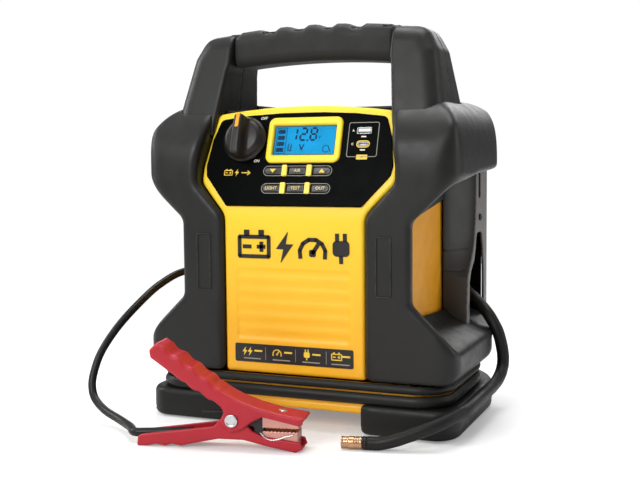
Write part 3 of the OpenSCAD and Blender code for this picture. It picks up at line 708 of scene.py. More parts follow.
plan_low, plan_mid, plan_top = plan_at(86, FRONT_R), plan_at(REAR_R, FRONT_R), plan_at(REAR_R, 26)
opening_outline = Profile(filleted([
    (-20, HIP_Z - 9, 0), (66, HIP_Z - 9, 0), (66, 184, 16), (92, 212, 14), (92, 226, 8), (86.5, 258, 8),
    (83, 277, 0), (83, 300, 0), (-20, 300, 0)]))


def outside(x, y, z, outline):
    """The body's moulded outside."""
    ax = np.abs(x)
    d = smax(outline(ax, z), side_outline(y, z), 6)
    above, top = np.clip((z - 66) / 14, 0, 1), np.clip((z - 150) / 60, 0, 1)
    plan = plan_low(ax, y) * (1 - above) + plan_mid(ax, y) * (above - top) + plan_top(ax, y) * top
    return smax(d, plan, 6)


RECESS_X = CORE_X + GAP + WALL
RECESS_Y = -87.0


def ceiling(y):
    """The height of the shoulder's lower edge, which rises towards the back."""
    return np.interp(y, (RECESS_Y, -24, 65), (208, 218, 223))


def recess(x, y, z):
    """The hollow in each flank."""
    d = smax(RECESS_X - x, edge(x, z, (RECESS_X, 90), (160, 66)), 12)
    d = smax(d, z - ceiling(y), 5)
    return smax(d, RECESS_Y - y, 9)


window_outline = Profile(filleted([
    (RECESS_Y + 0.5, 95.5, 30), (RECESS_Y + 0.5, 169, 12), (-76, 181, 12), (10, 192.5, 4), (22.5, 195, 3),
    (22.5, 92.5, 6), (-40, 95.5, 14)]))


handle_front_outline = Profile(filleted([
    (-20, 250, 0), (128, 250, 1), (122.5, 285, 20), (115.5, 325, 12), (105, 345, 18),
    (60, HANDLE_Z - 3, 12), (0, HANDLE_Z - 0.5, 0), (-20, HANDLE_Z - 0.5, 0)]))
handle_side_outline = Profile(filleted([
    (-81, 250, 1), (-52, HANDLE_Z - 8, 10), (-46, HANDLE_Z, 4), (-10, HANDLE_Z, 4), (-3, HANDLE_Z - 8, 10),
    (16, 250, 1)]))
GRIP_YZ = np.array([-29.5, HANDLE_Z - 18.2])
inner_outline = Profile(filleted([
    (-20, 250, 0), (84.8, 250, 0), (GRIP_X + 2, 312, 6), (GRIP_X + GAP, 319, 3), (GRIP_X + GAP, 365, 0),
    (-20, 365, 0)]))


def handle(x, y, z):
    ax = np.abs(x)
    d = smax(handle_front_outline(ax, z), handle_side_outline(y, z), 16)
    return smax(d, -inner_outline(ax, z), 3)


def side_shell(x, y, z):
    d = smax(outside(x, y, z, front_outline), -recess(x, y, z), 5)
    opening = smax(opening_outline(x, z), y - (COVER_Y + 30), 1)
    d = smax(d, -opening, 7)
    d = np.maximum(d, -(d + WALL))
    d = np.maximum(d, -np.maximum(x - SLOT_X, COVER_Y + 29 - y))
    d = smax(d, -smax(x - SLOT_X, 276 - z, 1), 1.5)
    d = np.maximum(d, -np.maximum(x - CORE_X - GAP, np.maximum(COVER_Y + 2 - y, z - 50)))
    d = smax(d, -smax(window_outline(y, z), slab(x, CORE_X - 5, RECESS_X + 8), 1), 1.4)
    d = np.maximum(d, -np.maximum(rect(y - 58, z - 128, 17, 25, 8), slab(x, CORE_X - 5, RECESS_X + 4)))
    d = smax(d, -np.maximum(handle(x, y, z) - GAP, 250 - z), 1)
    return np.maximum(d, y - SPLIT_Y)


FINE = 1.5

shell_mesh = moulded("right_side_moulding", side_shell, (62, FACE_Y - 1, HIP_Z - 1),
                     (HALF_W + 1, SPLIT_Y + 1, TOP_Z + 1), FINE)
both_sides(shell_mesh, black, "side_shell", "shell_black")

POST = (-FACE_Y * TO_FRONT, (ACROSS, UP, TO_FRONT))
for side, name in ((1, "right"), (-1, "left")):
    frame_line = ring(oblong(side * 83.5, 143, 6.6, 25, 2), oblong(side * 83.5, 143, 6.1, 24.5, 1.6))
    piece(plate(name + "_post_line", frame_line, -0.4, 0.12, POST), black, slot="shell_black")

BOSS_X, BOSS_Z = 91.5, (70, 125, 178)
flap_low, flap_high = corners("ac_flap")
lens_low, lens_high = corners("lamp_lens")


def back_panel(x, y, z):
    d = outside(x, y, z, rear_outline)
    d = np.maximum(d, -(d + WALL))
    d = np.maximum(d, SPLIT_Y + GAP - y)
    for side in (-1, 1):
        for height in BOSS_Z:
            hole = length(x - side * BOSS_X, z - height) - 4.6
            d = smax(d, -np.maximum(hole, 92 - y), 1.6)
    middle = (flap_low + flap_high) / 2
    gap = rect(x - middle[0], z - middle[2], 24.4, 20.9, 0.8)
    d = smax(d, -np.maximum(gap, 88 - y), 1.2)
    lamp = (lens_low + lens_high) / 2
    d = smax(d, -np.maximum(rect(x, z - lamp[2], 35.4, 9.4, 5), 88 - y), 1.2)
    upper_vents = [(22 + 7 * k, 142, 23) for k in range(6)]
    lower_vents = [(9 * k - 36, 84, 13) for k in range(9)]
    for vent_x, vent_z, half in upper_vents + lower_vents:
        d = smax(d, -np.maximum(rect(x - vent_x, z - vent_z, 1.5, half, 1.4), 88 - y), 0.8)
    # a raised frame round the lamp and a shallow step across the back
    rim = rect(x, z - lamp[2], 42, 15.5, 8)
    d = smax(d, -smax(np.abs(rim) - 0.6, BACK_Y - 0.9 - y, 0.3), 0.5)
    belt = np.abs(z - 108) - 0.7
    return smax(d, -smax(belt, BACK_Y - 0.9 - y, 0.3), 0.5)


mould("rear_moulding", back_panel, (-HALF_W - 1, SPLIT_Y - 1, HIP_Z - 1),
      (HALF_W + 1, BACK_Y + 1, TOP_Z + 1), FINE, black, "rear_cover", "shell_black")


def deck(x, y, z):
    top = DECK_Z - np.clip((y - 70) / 15, 0, 1) * 5
    d = smax(slab(z, top - WALL, top), np.abs(x) - (SLOT_X - GAP), 1.5)
    d = smax(d, slab(y, -58, SPLIT_Y), 1.5)
    for k in range(5):
        d = smax(d, -smax(np.abs(y - 22 - 9 * k) - 1.3, smax(np.abs(x) - 58, top - 1.1 - z, 0.5), 0.5), 0.8)
    # its sides rise to meet the shoulders
    rise = np.maximum(slab(np.abs(x), SLOT_X - 3.4, SLOT_X - GAP), outside(x, y, z, front_outline) + 0.8)
    rise = np.maximum(np.maximum(rise, top - WALL - z), slab(y, 12, SPLIT_Y - 0.5))
    return smin(d, rise, 1.5)


mould("top_moulding", deck, (-SLOT_X - 1, -59, DECK_Z - 10), (SLOT_X + 1, SPLIT_Y + 1, TOP_Z + 1), 1.1,
      black, "top_deck", "shell_black")

core_low, core_high = corners("core_housing")


def core_wall(x, y, z):
    """The yellow wall seen through the flank's window, with soft waves moulded in it."""
    wave = 0.35 * np.sin(z / 3.1) * np.clip((y + 78) / 12, 0, 1)
    d = np.abs(x - CORE_X + 1.25 + wave * 0.5) - 1.25 - 0.3 * wave
    d = smax(d, slab(y, core_low[1], SPLIT_Y - 0.5), 1)
    return smax(d, slab(z, core_low[2], core_high[2]), 1)


core_mesh = moulded("right_core_wall", core_wall, (CORE_X - 4, core_low[1], core_low[2]),
                    (CORE_X + 1, SPLIT_Y, core_high[2]), 1.2)
# the core wall's darker yellow is painted shade of the pocket
piece(core_mesh, core_yellow_painted_shade, "core_housing", "body_yellow")
piece(mirrored(core_mesh), core_yellow_painted_shade, slot="body_yellow")

# ---------- the base ----------


def base_outline(w):
    """The plan of the tray and its ribs, for x from 0."""
    low, high = FACE_Y + RIB_X - w, BACK_Y - 7.5 - RIB_X + w
    return Profile(arc((w - 88, high - 88), (88, 88), 0, 90, 12) + [(-20, high), (-20, low)]
                   + arc((w - 30, low + 30), (30, 30), 270, 360, 12))


rib_plan = base_outline(RIB_X)
tray_plan = base_outline(TRAY_X)
rib_low, rib_high = corners("bumper_ribs")
tray_low, tray_high = corners("base_tray")


def rib(low, high):
    def field(x, y, z):
        d = smax(rib_plan(np.abs(x), y), slab(z, low, high), 4.5)
        # a black lip behind the rounded edge closes the gap to the part above or below, as painted shade in the
        # gap in place of the yellow tray
        lip = slab(z, 38.2, 45.1) if low > 38 else slab(z, rib_low[2] - 0.2, 36.4)
        d = smin(d, np.maximum(lip, rib_plan(np.abs(x), y) + 1.8), 0.5)
        return smax(d, -(tray_plan(np.abs(x), y) - 0.2), 0.6)
    return field


for name, low, high in (("lower_bumper_rib", rib_low[2], 36.0), ("upper_bumper_rib", 38.5, rib_high[2])):
    mould(name, rib(low, high), (-RIB_X, FACE_Y, low), (RIB_X, BACK_Y - 7, high), 1.3, base_black,
          "bumper_ribs", "base_black")


def tray(x, y, z):
    d = smax(tray_plan(np.abs(x), y), slab(z, tray_low[2], tray_high[2]), 4)
    d = smax(d, -smax(tray_plan(np.abs(x), y) + WALL, tray_low[2] + WALL - z, 3), 0.8)
    # a stepped lip runs along the underside between the feet
    return smax(d, -smax(np.abs(z - 24) - 0.7, -tray_plan(np.abs(x), y) - 0.8, 0.4), 0.6)


mould("tray_moulding", tray, (-TRAY_X, FACE_Y, tray_low[2]), (TRAY_X, BACK_Y, tray_high[2]), 1.8, yellow,
      "base_tray", "body_yellow")

foot_low, foot_high = corners("right_foot")
foot_plan = Profile([(FOOT_IN, 9 - HALF_D), (FOOT_IN + 1.5, 4 - HALF_D), (FOOT_IN + 4.5, 1.2 - HALF_D),
                     (FOOT_IN + 9, -HALF_D)]
                    + arc((FOOT_X - 20, 24 - HALF_D), (20, 24), 275, 360, 12)
                    + arc((FOOT_X - 72, HALF_D - 78), (72, 78), 0, 85, 12)
                    + [(FOOT_IN + 10, HALF_D), (FOOT_IN, HALF_D - 9)])


def foot(x, y, z):
    d = smax(foot_plan(x, y), slab(z, foot_low[2], foot_high[2]), 6)
    d = smax(d, -smax(tray_plan(x, y) - GAP, tray_low[2] - z, 1), 1)
    # the rounded heel of each foot is stepped in a little under the ribs
    d = smax(d, -smax(np.abs(z - 6.5) - 0.6, -foot_plan(x, y) - 0.7, 0.4), 0.5)
    for side in (-1, 1):
        d = smax(d, -np.maximum(length(x - 104, y - side * 70) - 11.2, z - 2.6), 0.8)
        d = smax(d, -np.maximum(length(x - 84, y - side * 70) - 4.8, z - 10), 0.8)
    return d


foot_mesh = moulded("right_foot_moulding", foot, (FOOT_IN, -HALF_D, 0), (FOOT_X, HALF_D, foot_high[2]), 1.5)
both_sides(foot_mesh, base_black, "foot", "base_black")

# ---------- the handle ----------

def handle_half(front):
    def field(x, y, z):
        d = handle(x, y, z)
        bar = np.maximum(rect(y - GRIP_YZ[0], z - GRIP_YZ[1], 16.5, 11.5, 2), np.abs(x) - GRIP_X - 5)
        d = np.minimum(d, bar)
        seam = y - (GRIP_YZ[0] - 0.15) if front else GRIP_YZ[0] + 0.15 - y
        return smax(d, seam, 0.8)
    return field


SEAM_Y = GRIP_YZ[0]
for name, front, span in (("front", True, (-82, SEAM_Y + 1)), ("rear", False, (SEAM_Y - 1, 17))):
    mould(f"handle_{name}_moulding", handle_half(front), (-129, span[0], 252), (129, span[1], HANDLE_Z), FINE,
          black, "handle_" + name, "shell_black")


PADS = ((-75, -48.5), (-37, -21), (-9, 7), (18, 35.3), (45, 90))


def crown(x):
    """How far the grip's top stands up along its length: four pads and the end, each steep at its right."""
    up = np.zeros_like(x)
    for start, end in PADS:
        up = np.maximum(up, np.clip((x - start) / 5, 0, 1) * np.clip((end + 4.5 - x) / 9, 0, 1))
    return up


def grip(x, y, z):
    """The rubber grip: an arched, rounded bar with low pads on its top."""
    arch = 4 * (1 - (x / GRIP_X) ** 2) - 1.4
    raised = 2.9 * crown(x) * np.clip((z - 338) / 6, 0, 1)
    d = rect(y - GRIP_YZ[0], z - 331.3 - arch - raised / 2, 20.5, 14.6 + raised / 2, 9)
    d = smax(d, np.abs(x) - GRIP_X + 0.3, 3)
    return np.maximum(d, -rect(y - GRIP_YZ[0], z - GRIP_YZ[1], 16.8, 11.8, 2))


def grip_inlay(x, y, z):
    """Dark soft inlays on the steep end of each pad."""
    near = np.min([np.abs(x - end) for start, end in PADS[:4]], axis=0)
    d = smax(grip(x, y, z) - 0.35, near - 4.2, 0.8)
    return smax(smax(d, np.abs(y + 30) - 10, 2), 342 - z, 0.5)


mould("grip_inlays", grip_inlay, (-54, -42, 342), (41, -18, 354), 0.7, inlay_black)
mould("grip_moulding", grip, (-GRIP_X, -51, 312), (GRIP_X, -8, 356), 1.2, grip_black, "handle_grip",
      "grip_rubber")

# ---------- the front cover and its panel ----------

PANEL_L = 90.0
LCD_AT, LCD_SIZE = np.array([4.6, 61.4]), np.array([57.4, 26.4])
BEZEL = np.array([69.6, 41.4])
KNOB_AT = np.array([(knob_at - PANEL_AT) @ ACROSS, (knob_at - PANEL_AT) @ UPSLOPE])
USB_AT = np.array([59.0, 63.0])
KEY_U, KEY_V = (-21.5, 1.5, 24.5), (33.6, 17.9)
KEY_SIZE = np.array([16.4, 6.4])
DIVIDER_U = (-10.0, 13.0)


def to_panel(x, y, z):
    """Panel coordinates of a point: across, up the slope, and out of it."""
    dy, dz = y - PANEL_AT[1], z - PANEL_AT[2]
    return x, dy * UPSLOPE[1] + dz * UPSLOPE[2], dy * panel_out[1] + dz * panel_out[2]


def usb_a(u, v, half_u, half_v, r=0.0):
    return rect(u - USB_AT[0], v - USB_AT[1] - 6, half_u, half_v, r)


def usb_c(u, v, half_u, half_v, r=0.0):
    return rect(u - USB_AT[0], v - USB_AT[1] + 6, half_u, half_v, r)


def key_holes(u, v, gap, r=0.0):
    """The six key openings, wider than the keys by a gap on each side."""
    half_u, half_v = KEY_SIZE / 2 + gap
    holes = [rect(u - ku, v - kv, half_u, half_v, r) for ku in KEY_U for kv in KEY_V]
    return np.min(holes, axis=0)


def panel_holes(u, v, grow):
    d = length(u - KNOB_AT[0], v - KNOB_AT[1]) - 6 - grow
    display = rect(u - LCD_AT[0], v - LCD_AT[1], LCD_SIZE[0] / 2 + 1 + grow, LCD_SIZE[1] / 2 + 2 + grow)
    d = np.minimum(d, display)
    d = np.minimum(d, key_holes(u, v, 0.3 + grow))
    d = np.minimum(d, usb_a(u, v, 6.7 + grow, 3 + grow, 0.5))
    return np.minimum(d, usb_c(u, v, 4.8 + grow, 1.9 + grow, 1.7))


def cover(x, y, z):
    u, v, w = to_panel(x, y, z)
    face = smax(COVER_Y - y, w, 4.5)
    # a shallow panel is let into the face, with soft ribs across it
    recessed = rect(x, z - 107, 54, 32, 5)
    face = face + 1.2 * np.clip(-recessed / 2.5, 0, 1) * (1 - 0.6 * (0.5 + 0.5 * np.cos((z - 107) * 0.57)))
    top = v - (PANEL_L + 4) + (x / 80) ** 2 * 6
    edge_d = smax(opening_outline(np.abs(x), z) + 0.7, top, 4)
    edge_d = smax(edge_d, HIP_Z + 0.9 - z, 3)
    d = smax(face, edge_d, 4)
    d = np.maximum(d, -(d + WALL))
    d = np.maximum(d, -face - 9.5)
    return smax(d, -np.maximum(panel_holes(u, v, 0.4), np.abs(w) - 9), 0.5)


mould("front_moulding", cover, (-92, COVER_Y - 1, HIP_Z), (92, -50, 286), 1.2, yellow, "front_cover",
      "body_yellow")

dividers = [oblong(u, v, 2.3, 4.9, 0.9) for u in DIVIDER_U for v in KEY_V]
piece(plate("key_dividers", dividers, -1, 3.4, PANEL), bezel_yellow, slot="body_yellow")

overlay_outline = Profile(filleted([
    (-20, 2, 0), (63, 2, 3), (86, 29, 8), (87.5, 38, 10), (84, 63, 0), (78, 81.5, 6), (50, 85, 0),
    (20, 86.6, 0), (-20, 86.8, 0)]), 0.4)


def film(u, v, w):
    d = smax(overlay_outline(np.abs(u), v), slab(w, -0.2, 1.2), 0.6)
    holes = length(u - KNOB_AT[0], v - KNOB_AT[1]) - 7
    holes = np.minimum(holes, rect(u - LCD_AT[0], v - LCD_AT[1], BEZEL[0] / 2 + 0.2, BEZEL[1] / 2 + 0.2, 6.7))
    holes = np.minimum(holes, key_holes(u, v, 0.3, 0.4))
    holes = np.minimum(holes, usb_a(u, v, 6.8, 3.1, 0.5))
    holes = np.minimum(holes, usb_c(u, v, 4.9, 2.0, 1.8))
    return smax(d, -holes, 0.4)


mould("panel_film", film, (-88, 1, -0.4), (88, 92, 1.4), 0.6, gloss_black, "control_panel", "panel_gloss",
      at=PANEL)


def bezel(u, v, w):
    u, v = u - LCD_AT[0], v - LCD_AT[1]
    outer = rect(u, v, BEZEL[0] / 2, BEZEL[1] / 2, 6.5)
    inner = rect(u, v, LCD_SIZE[0] / 2 + w * 0.35, LCD_SIZE[1] / 2 + w * 0.35, 0.8)
    return smax(smax(outer, slab(w, 0, 3), 2.2), -inner, 0.8)


bezel_low = (LCD_AT[0] - BEZEL[0] / 2, LCD_AT[1] - BEZEL[1] / 2, 0)
bezel_high = (LCD_AT[0] + BEZEL[0] / 2, LCD_AT[1] + BEZEL[1] / 2, 3)
mould("bezel_moulding", bezel, bezel_low, bezel_high, 0.6, bezel_yellow, "display_bezel", "body_yellow",
      at=PANEL)


# ---------- the display ----------

LCD = (PANEL_AT + LCD_AT[0] * ACROSS + LCD_AT[1] * UPSLOPE, PANEL[1])
half_lcd = LCD_SIZE / 2

module = plate("display_backlight", [oblong(0, 0, half_lcd[0] + 0.8, half_lcd[1] + 2, 0.8)], -6, -0.1, LCD)
piece(module, lcd_blue, "display_module", "display_blue")
window = plate("display_pane", [oblong(0, 0, half_lcd[0] - 0.1, half_lcd[1] - 0.1, 0.5)], 0.2, 1.2, LCD)
piece(window, window_clear, "display_window", "display_clear")

SEGMENTS = {"1": "bc", "2": "abged", "8": "abcdefg"}


def digit(text, u, v, w, h, t):
    """Outlines of one seven-segment digit standing on (u, v)."""
    m = h / 2
    ends = {"a": ((0, h), (w, h)), "b": ((w, h), (w, m)), "c": ((w, m), (w, 0)), "d": ((0, 0), (w, 0)),
            "e": ((0, m), (0, 0)), "f": ((0, h), (0, m)), "g": ((0, m), (w, m))}
    out = []
    for s in SEGMENTS[text]:
        (a, b), (c, d) = ends[s]
        shrink = t * 0.62
        if b == d:
            a, c = a + shrink, c - shrink
        else:
            b, d = (b - shrink, d + shrink) if b > d else (b + shrink, d - shrink)
        lean = 0.09
        out += stroke([(u + a + lean * b, v + b), (u + c + lean * d, v + d)], t)
    return out


def arc_stroke(u, v, r, start, end, width):
    return stroke(arc((u, v), (r, r), start, end, 7), width)


reading = digit("1", -13, 0.4, 4.4, 10.6, 1.7) + digit("2", -4.8, 0.4, 5.4, 10.6, 1.7)
reading += digit("8", 4.6, 0.4, 5.4, 10.6, 1.7) + [oblong(2.4, 0.2, 0.8, 0.8, 0.3)]
for k in range(4):
    reading.append(oblong(-22.3 - 0.15 * k, 8.2 - 5.5 * k, 3.3, 1.95, 0.3))
reading += stroke([(-26.4, 11.6), (-26.9, -11.6), (-17.9, -11.6), (-17.4, 11.6), (-26.4, 11.6)], 0.5)
reading += stroke([(-15.0, -3.0), (-15.0, -9.0), (-12.4, -9.0), (-12.2, -3.4)], 0.8)
reading += arc_stroke(20.4, -7.6, 3.2, 20, 320, 0.6) + stroke([(22.6, -6.5), (24.6, -9.8)], 0.8)
piece(plate("display_reading", reading, -0.1, 0.06, LCD), lcd_ink)
piece(letters("display_units", [("V", -2.4, -6.6, 8.0), ("V", 13.6, 2.6, 3.2)], -0.1, 0.06, LCD), lcd_ink)
seal = ring(oblong(0, 0, half_lcd[0] + 0.3, half_lcd[1] + 0.3, 0.6),
            oblong(0, 0, half_lcd[0] - 0.55, half_lcd[1] - 0.55, 0.4))
piece(plate("display_seal", seal, -0.1, 0.18, LCD), label_black)

# ---------- print on the panel ----------

TOP = 1.2
LEGEND = (TOP - 0.05, TOP + 0.1)


def bolt(u, v, s):
    """A lightning bolt, s high, about (u, v)."""
    shape = ((0.12, 0.5), (-0.3, -0.06), (-0.04, -0.06), (-0.14, -0.5), (0.3, 0.1), (0.04, 0.1))
    return [[(u + a * s, v + b * s) for a, b in shape]]


def battery_sign(u, v, w, h, t):
    left, right, low, high = u - w / 2, u + w / 2, v - h / 2, v + h / 2
    out = stroke([(left, low), (right, low), (right, high), (left, high), (left, low)], t)
    out += [oblong(u + side * w / 4, high + t, w * 0.09, t * 0.8, 0.1) for side in (-1, 1)]
    for side in (-0.24, 0.24):
        out += stroke([(u + w * (side - 0.12), v), (u + w * (side + 0.12), v)], t)
    return out + stroke([(u + w / 4, v - h * 0.22), (u + w / 4, v + h * 0.22)], t)


usb_u, usb_v = USB_AT
grey_ink = []
for v in KEY_V:
    grey_ink += ring(oblong(1.5, v, 32.2, 4.6, 4.5), oblong(1.5, v, 31.7, 4.1, 4.0))
grey_ink += ring(oblong(usb_u - 0.5, usb_v - 2, 13.6, 15.4, 1.8),
                 oblong(usb_u - 0.5, usb_v - 2, 13.1, 14.9, 1.4))
piece(plate("panel_outlines", grey_ink, *LEGEND, PANEL), ink_grey)
yellow_ink = ring(oblong(usb_u, usb_v - 6, 6.0, 3.1, 3.0), oblong(usb_u, usb_v - 6, 5.2, 2.3, 2.2))
yellow_ink += battery_sign(-64.5, 32, 7.6, 4.2, 0.65) + bolt(-56.2, 32.2, 6.6)
yellow_ink += stroke([(-51.5, 32), (-43.5, 32)], 0.8)
yellow_ink += stroke([(-45.8, 33.8), (-43.3, 32), (-45.8, 30.2)], 0.8)
yellow_ink += ring(oblong(usb_u, usb_v - 17.5, 4.9, 2.1, 0.4), oblong(usb_u, usb_v - 17.5, 1.0, 0.3, 0.1))
piece(plate("panel_signs", yellow_ink, *LEGEND, PANEL), ink_yellow)
piece(letters("panel_words", [("OFF", -36.4, 81.9, 3.6), ("ON", -38.6, 42.6, 3.4)], *LEGEND, PANEL, 0.25),
      ink_pale)
marks = [("A", usb_u - 9.8, usb_v + 6, 2.8), ("C", usb_u - 9.6, usb_v - 6, 2.8)]
piece(letters("socket_letters", marks, *LEGEND, PANEL), ink_pale)
bars = []
for v in (usb_v + 0.6, usb_v - 11.2):
    bars += stroke([(usb_u - 2, v), (usb_u + 2, v)], 1.1)
piece(plate("socket_marks", bars, *LEGEND, PANEL), ink_pale)


def socket_shells(u, v, w):
    a = usb_a(u, v, 6.6, 2.9, 0.9)
    a = np.maximum(a, -usb_a(u, v, 6.1, 2.4, 0.6))
    c = usb_c(u, v, 4.7, 1.8, 1.7)
    c = np.maximum(c, -usb_c(u, v, 4.2, 1.3, 1.2))
    return smax(np.minimum(a, c), slab(w, -12, 1.5), 0.3)


def socket_tongues(u, v, w):
    a = rect(u - USB_AT[0], v - USB_AT[1] - 6.6, 5.5, 1.3, 0.3)
    c = usb_c(u, v, 3.2, 0.45, 0.3)
    return smax(np.minimum(np.maximum(a, w - 0.9), np.maximum(c, w - 0.6)), -12 - w, 0.3)


socket_low, socket_high = (USB_AT[0] - 7, USB_AT[1] - 8.5, -12), (USB_AT[0] + 7, USB_AT[1] + 9.5, 1.6)
mould("usb_shells", socket_shells, socket_low, socket_high, 0.35, steel, "usb_sockets", "bright_steel",
      at=PANEL)
mould("usb_tongues", socket_tongues, socket_low, socket_high, 0.35, tongue_white, at=PANEL)

# ---------- keys and selector ----------

SIGNS = {"key_down": "down", "key_air": "AIR", "key_up": "up", "key_light": "LIGHT", "key_test": "TEST",
         "key_usb": "OUT"}
for i, (node, sign) in enumerate(SIGNS.items()):
    ku, kv = KEY_U[i % 3], KEY_V[i // 3]
    side = i % 3 - 1
    body = node[4:] + "_key"

    def key(u, v, w, ku=ku, kv=kv, side=side):
        u, v = u - ku, v - kv
        d = rect(u, v, KEY_SIZE[0] / 2, KEY_SIZE[1] / 2, 0.6)
        if side:
            beyond = np.maximum(u * side - (KEY_SIZE[0] - KEY_SIZE[1]) / 2, 0)
            d = np.maximum(d, length(beyond, v) - KEY_SIZE[1] / 2)
        dish = 0.25 * np.clip(1 - length(u / 7, v / 2.6), 0, 1)
        return smax(d, slab(w, -3, 1.8 - dish), 0.7)

    low = (ku - KEY_SIZE[0] / 2, kv - KEY_SIZE[1] / 2, -3)
    high = (ku + KEY_SIZE[0] / 2, kv + KEY_SIZE[1] / 2, 1.8)
    mould(node + "_cap", key, low, high, 0.4, key_black, node, "key_black", body=body, at=PANEL)
    depth = (1.5, 1.86)
    if sign in ("up", "down"):
        tip = 1.7 if sign == "up" else -1.7
        arrow = [(ku - 2.9, kv - tip), (ku + 2.9, kv - tip), (ku, kv + tip)]
        piece(plate(node + "_arrow", [arrow], *depth, PANEL), ink_yellow, body=body)
    else:
        piece(letters(node + "_legend", [(sign, ku, kv, 4.0)], *depth, PANEL, 0.1), ink_gold, body=body)

KNOB = (knob_at, PANEL[1])
KNOB_R = 20.4


def knob(u, v, w):
    skirt = smax(length(u, v) - KNOB_R, slab(w, 1.8, 5.4), 1.6)
    dome = length(u, v) - (KNOB_R - 1.3 - 0.45 * np.maximum(w - 5, 0))
    dome = smax(dome, slab(w, 3, 12.5 - 0.006 * (u * u + v * v)), 2.6)
    d = smin(skirt, dome, 0.8)
    # two scoops leave a grip ridge across the middle
    width = 5.8 - 0.13 * np.maximum(w - 9, 0)
    ridge = smax(np.abs(u) - width, slab(w, 3, 22.9 - 0.0035 * v * v), 2.4)
    ridge = smax(ridge, length(u, v) - (KNOB_R - 2.2), 2.2)
    d = smin(d, ridge, 3.2)
    stem = np.maximum(length(u, v) - 3, slab(w, -18, 3))
    d = np.minimum(d, stem)
    slot = smax(np.abs(u) - 1.75, slab(v, 5.2, 25), 0.3)
    return np.maximum(d, -np.maximum(slot, 20.9 - w))


def pointer(u, v, w):
    top = 22.95 - 0.0035 * v * v
    d = smax(np.abs(u) - 1.7, slab(v, 5.3, KNOB_R - 2.4), 0.8)
    return smax(d, slab(w, 20.9, top), 0.6)


def knob_mark(u, v, w):
    """The painted end of the pointer, down the ridge's outer end."""
    end = length(u, v) - (KNOB_R - 2.05)
    d = smax(np.abs(u) - 1.7, np.abs(end + 0.2) - 0.35, 0.3)
    return smax(np.maximum(d, -v), slab(w, 11, 21.2), 0.4)


mould("knob_moulding", knob, (-21, -21, -18), (21, 21, 23.2), 0.75, knob_black, "selector_knob",
      "knob_black", body="selector", at=KNOB)
mould("pointer_inlay", pointer, (-2.5, 5, 20), (2.5, 19, 23.2), 0.35, orange, "knob_pointer",
      "pointer_orange", body="selector", at=KNOB)
mould("pointer_end", knob_mark, (-2.5, 15, 10), (2.5, 20, 22), 0.35, orange, body="selector", at=KNOB)

# ---------- labels ----------

FACE = (-COVER_Y * TO_FRONT, (ACROSS, UP, TO_FRONT))


def gauge(u, v, r, t):
    out = arc_stroke(u, v - r * 0.25, r, -20, 200, t)
    out += stroke([(u, v - r * 0.25), (u + r * 0.45, v + r * 0.4)], t)
    return out + [oblong(u, v - r * 0.25, t * 0.9, t * 0.9, t * 0.5)]


def plug(u, v, s, t):
    out = [oblong(u, v, s * 0.34, s * 0.3, s * 0.16)]
    out += stroke([(u - s * 0.16, v + s * 0.3), (u - s * 0.16, v + s * 0.55)], t)
    out += stroke([(u + s * 0.16, v + s * 0.3), (u + s * 0.16, v + s * 0.55)], t)
    return out + stroke([(u, v - s * 0.3), (u, v - s * 0.55)], t)


badge = battery_sign(-36, 157, 28, 17, 3.4) + bolt(-7, 157, 27)
badge += gauge(19, 155.5, 12, 3.4) + plug(45, 157, 22, 3.4)
piece(plate("badge_signs", badge, -0.2, 0.7, FACE), label_black, "front_labels", "label_dark")
strip = plate("rating_strip", [oblong(0, 63.5, 55.5, 8, 1.5)], 0, 0.8, FACE)
piece(strip, label_black, slot="label_dark")
strip_ink = bolt(-46, 64.8, 8) + bolt(-41, 64.8, 8) + gauge(-15, 64.6, 4, 1.0)
strip_ink += plug(13, 65, 8, 1.0) + battery_sign(40.5, 64.8, 9, 5, 0.9)
for u in (-33, -4.5, 22, 49):
    strip_ink += stroke([(u - 3.5, 65.6), (u + 3.5, 65.6)], 1.5)
piece(plate("strip_signs", strip_ink, 0.75, 0.95, FACE), ink_yellow)
strip_lines = []
for u in (-39, -11, 17, 44):
    strip_lines += stroke([(u - 8, 58.6), (u + 8, 58.6)], 0.9)
for u in (-26, 2.5, 31):
    strip_lines += stroke([(u, 58), (u, 69)], 0.35)
piece(plate("strip_lines", strip_lines, 0.75, 0.9, FACE), ink_grey)

# ---------- the cable bays ----------

BAY_Z = (77, 89, 103, 123, 133, 143.7, 157.5, 177, 190, 230)
BAY_FRONT = (17, 17, 18.3, 20.8, 29, 38.2, 45.3, 49, 50.4, 50.4)
bay_arch = Profile(filleted([
    (82, 70, 0), (25.4, 70, 0), (25.4, 117, 6), (31, 127.5, 4), (42.5, 136, 6), (48.5, 149, 12),
    (51.8, 161.8, 7), (73, 161.8, 6), (78.5, 145, 20), (81.8, 122, 20)]))


def bay_depth(x, y, z):
    """Distance in front of the bay's front wall, which leans back between the window and the side plate."""
    u = np.clip((x - CORE_X - 3) / 22, 0, 1)
    lean = np.interp(z, BAY_Z, BAY_FRONT) - 19
    slope = lean * 6 * u * (1 - u) / 22
    return (19 + lean * u * u * (3 - 2 * u) - y) / np.sqrt(1.2 + slope * slope)


def bay(x, y, z):
    front = bay_depth(x, y, z)
    d = smax(front, x - BAY_X, 2.2)
    d = np.maximum(d, slab(z, 78, ceiling(y) + 1.5))
    d = np.maximum(d, -np.maximum(np.maximum(front + 2.5, x - BAY_X + 2.5), 80 - z))
    for height in (147.5, 128.5):
        groove = smax(np.abs(z - height) - 0.8, -front - 1.0, 0.4)
        d = smax(d, -np.maximum(groove, x - BAY_X + 6), 0.5)
    side = BAY_X - 5 - x
    d = smax(d, -np.maximum(bay_arch(y, z), side), 1.2)
    d = smax(d, -np.maximum(rect(y - 63, z - 208, 4.5, 14, 4), side), 0.8)
    d = smax(d, -np.maximum(length(y - 66.5, z - 176) - 2.4, BAY_X - 1.6 - x), 0.5)
    return np.maximum(d, RECESS_X - 1 - x)


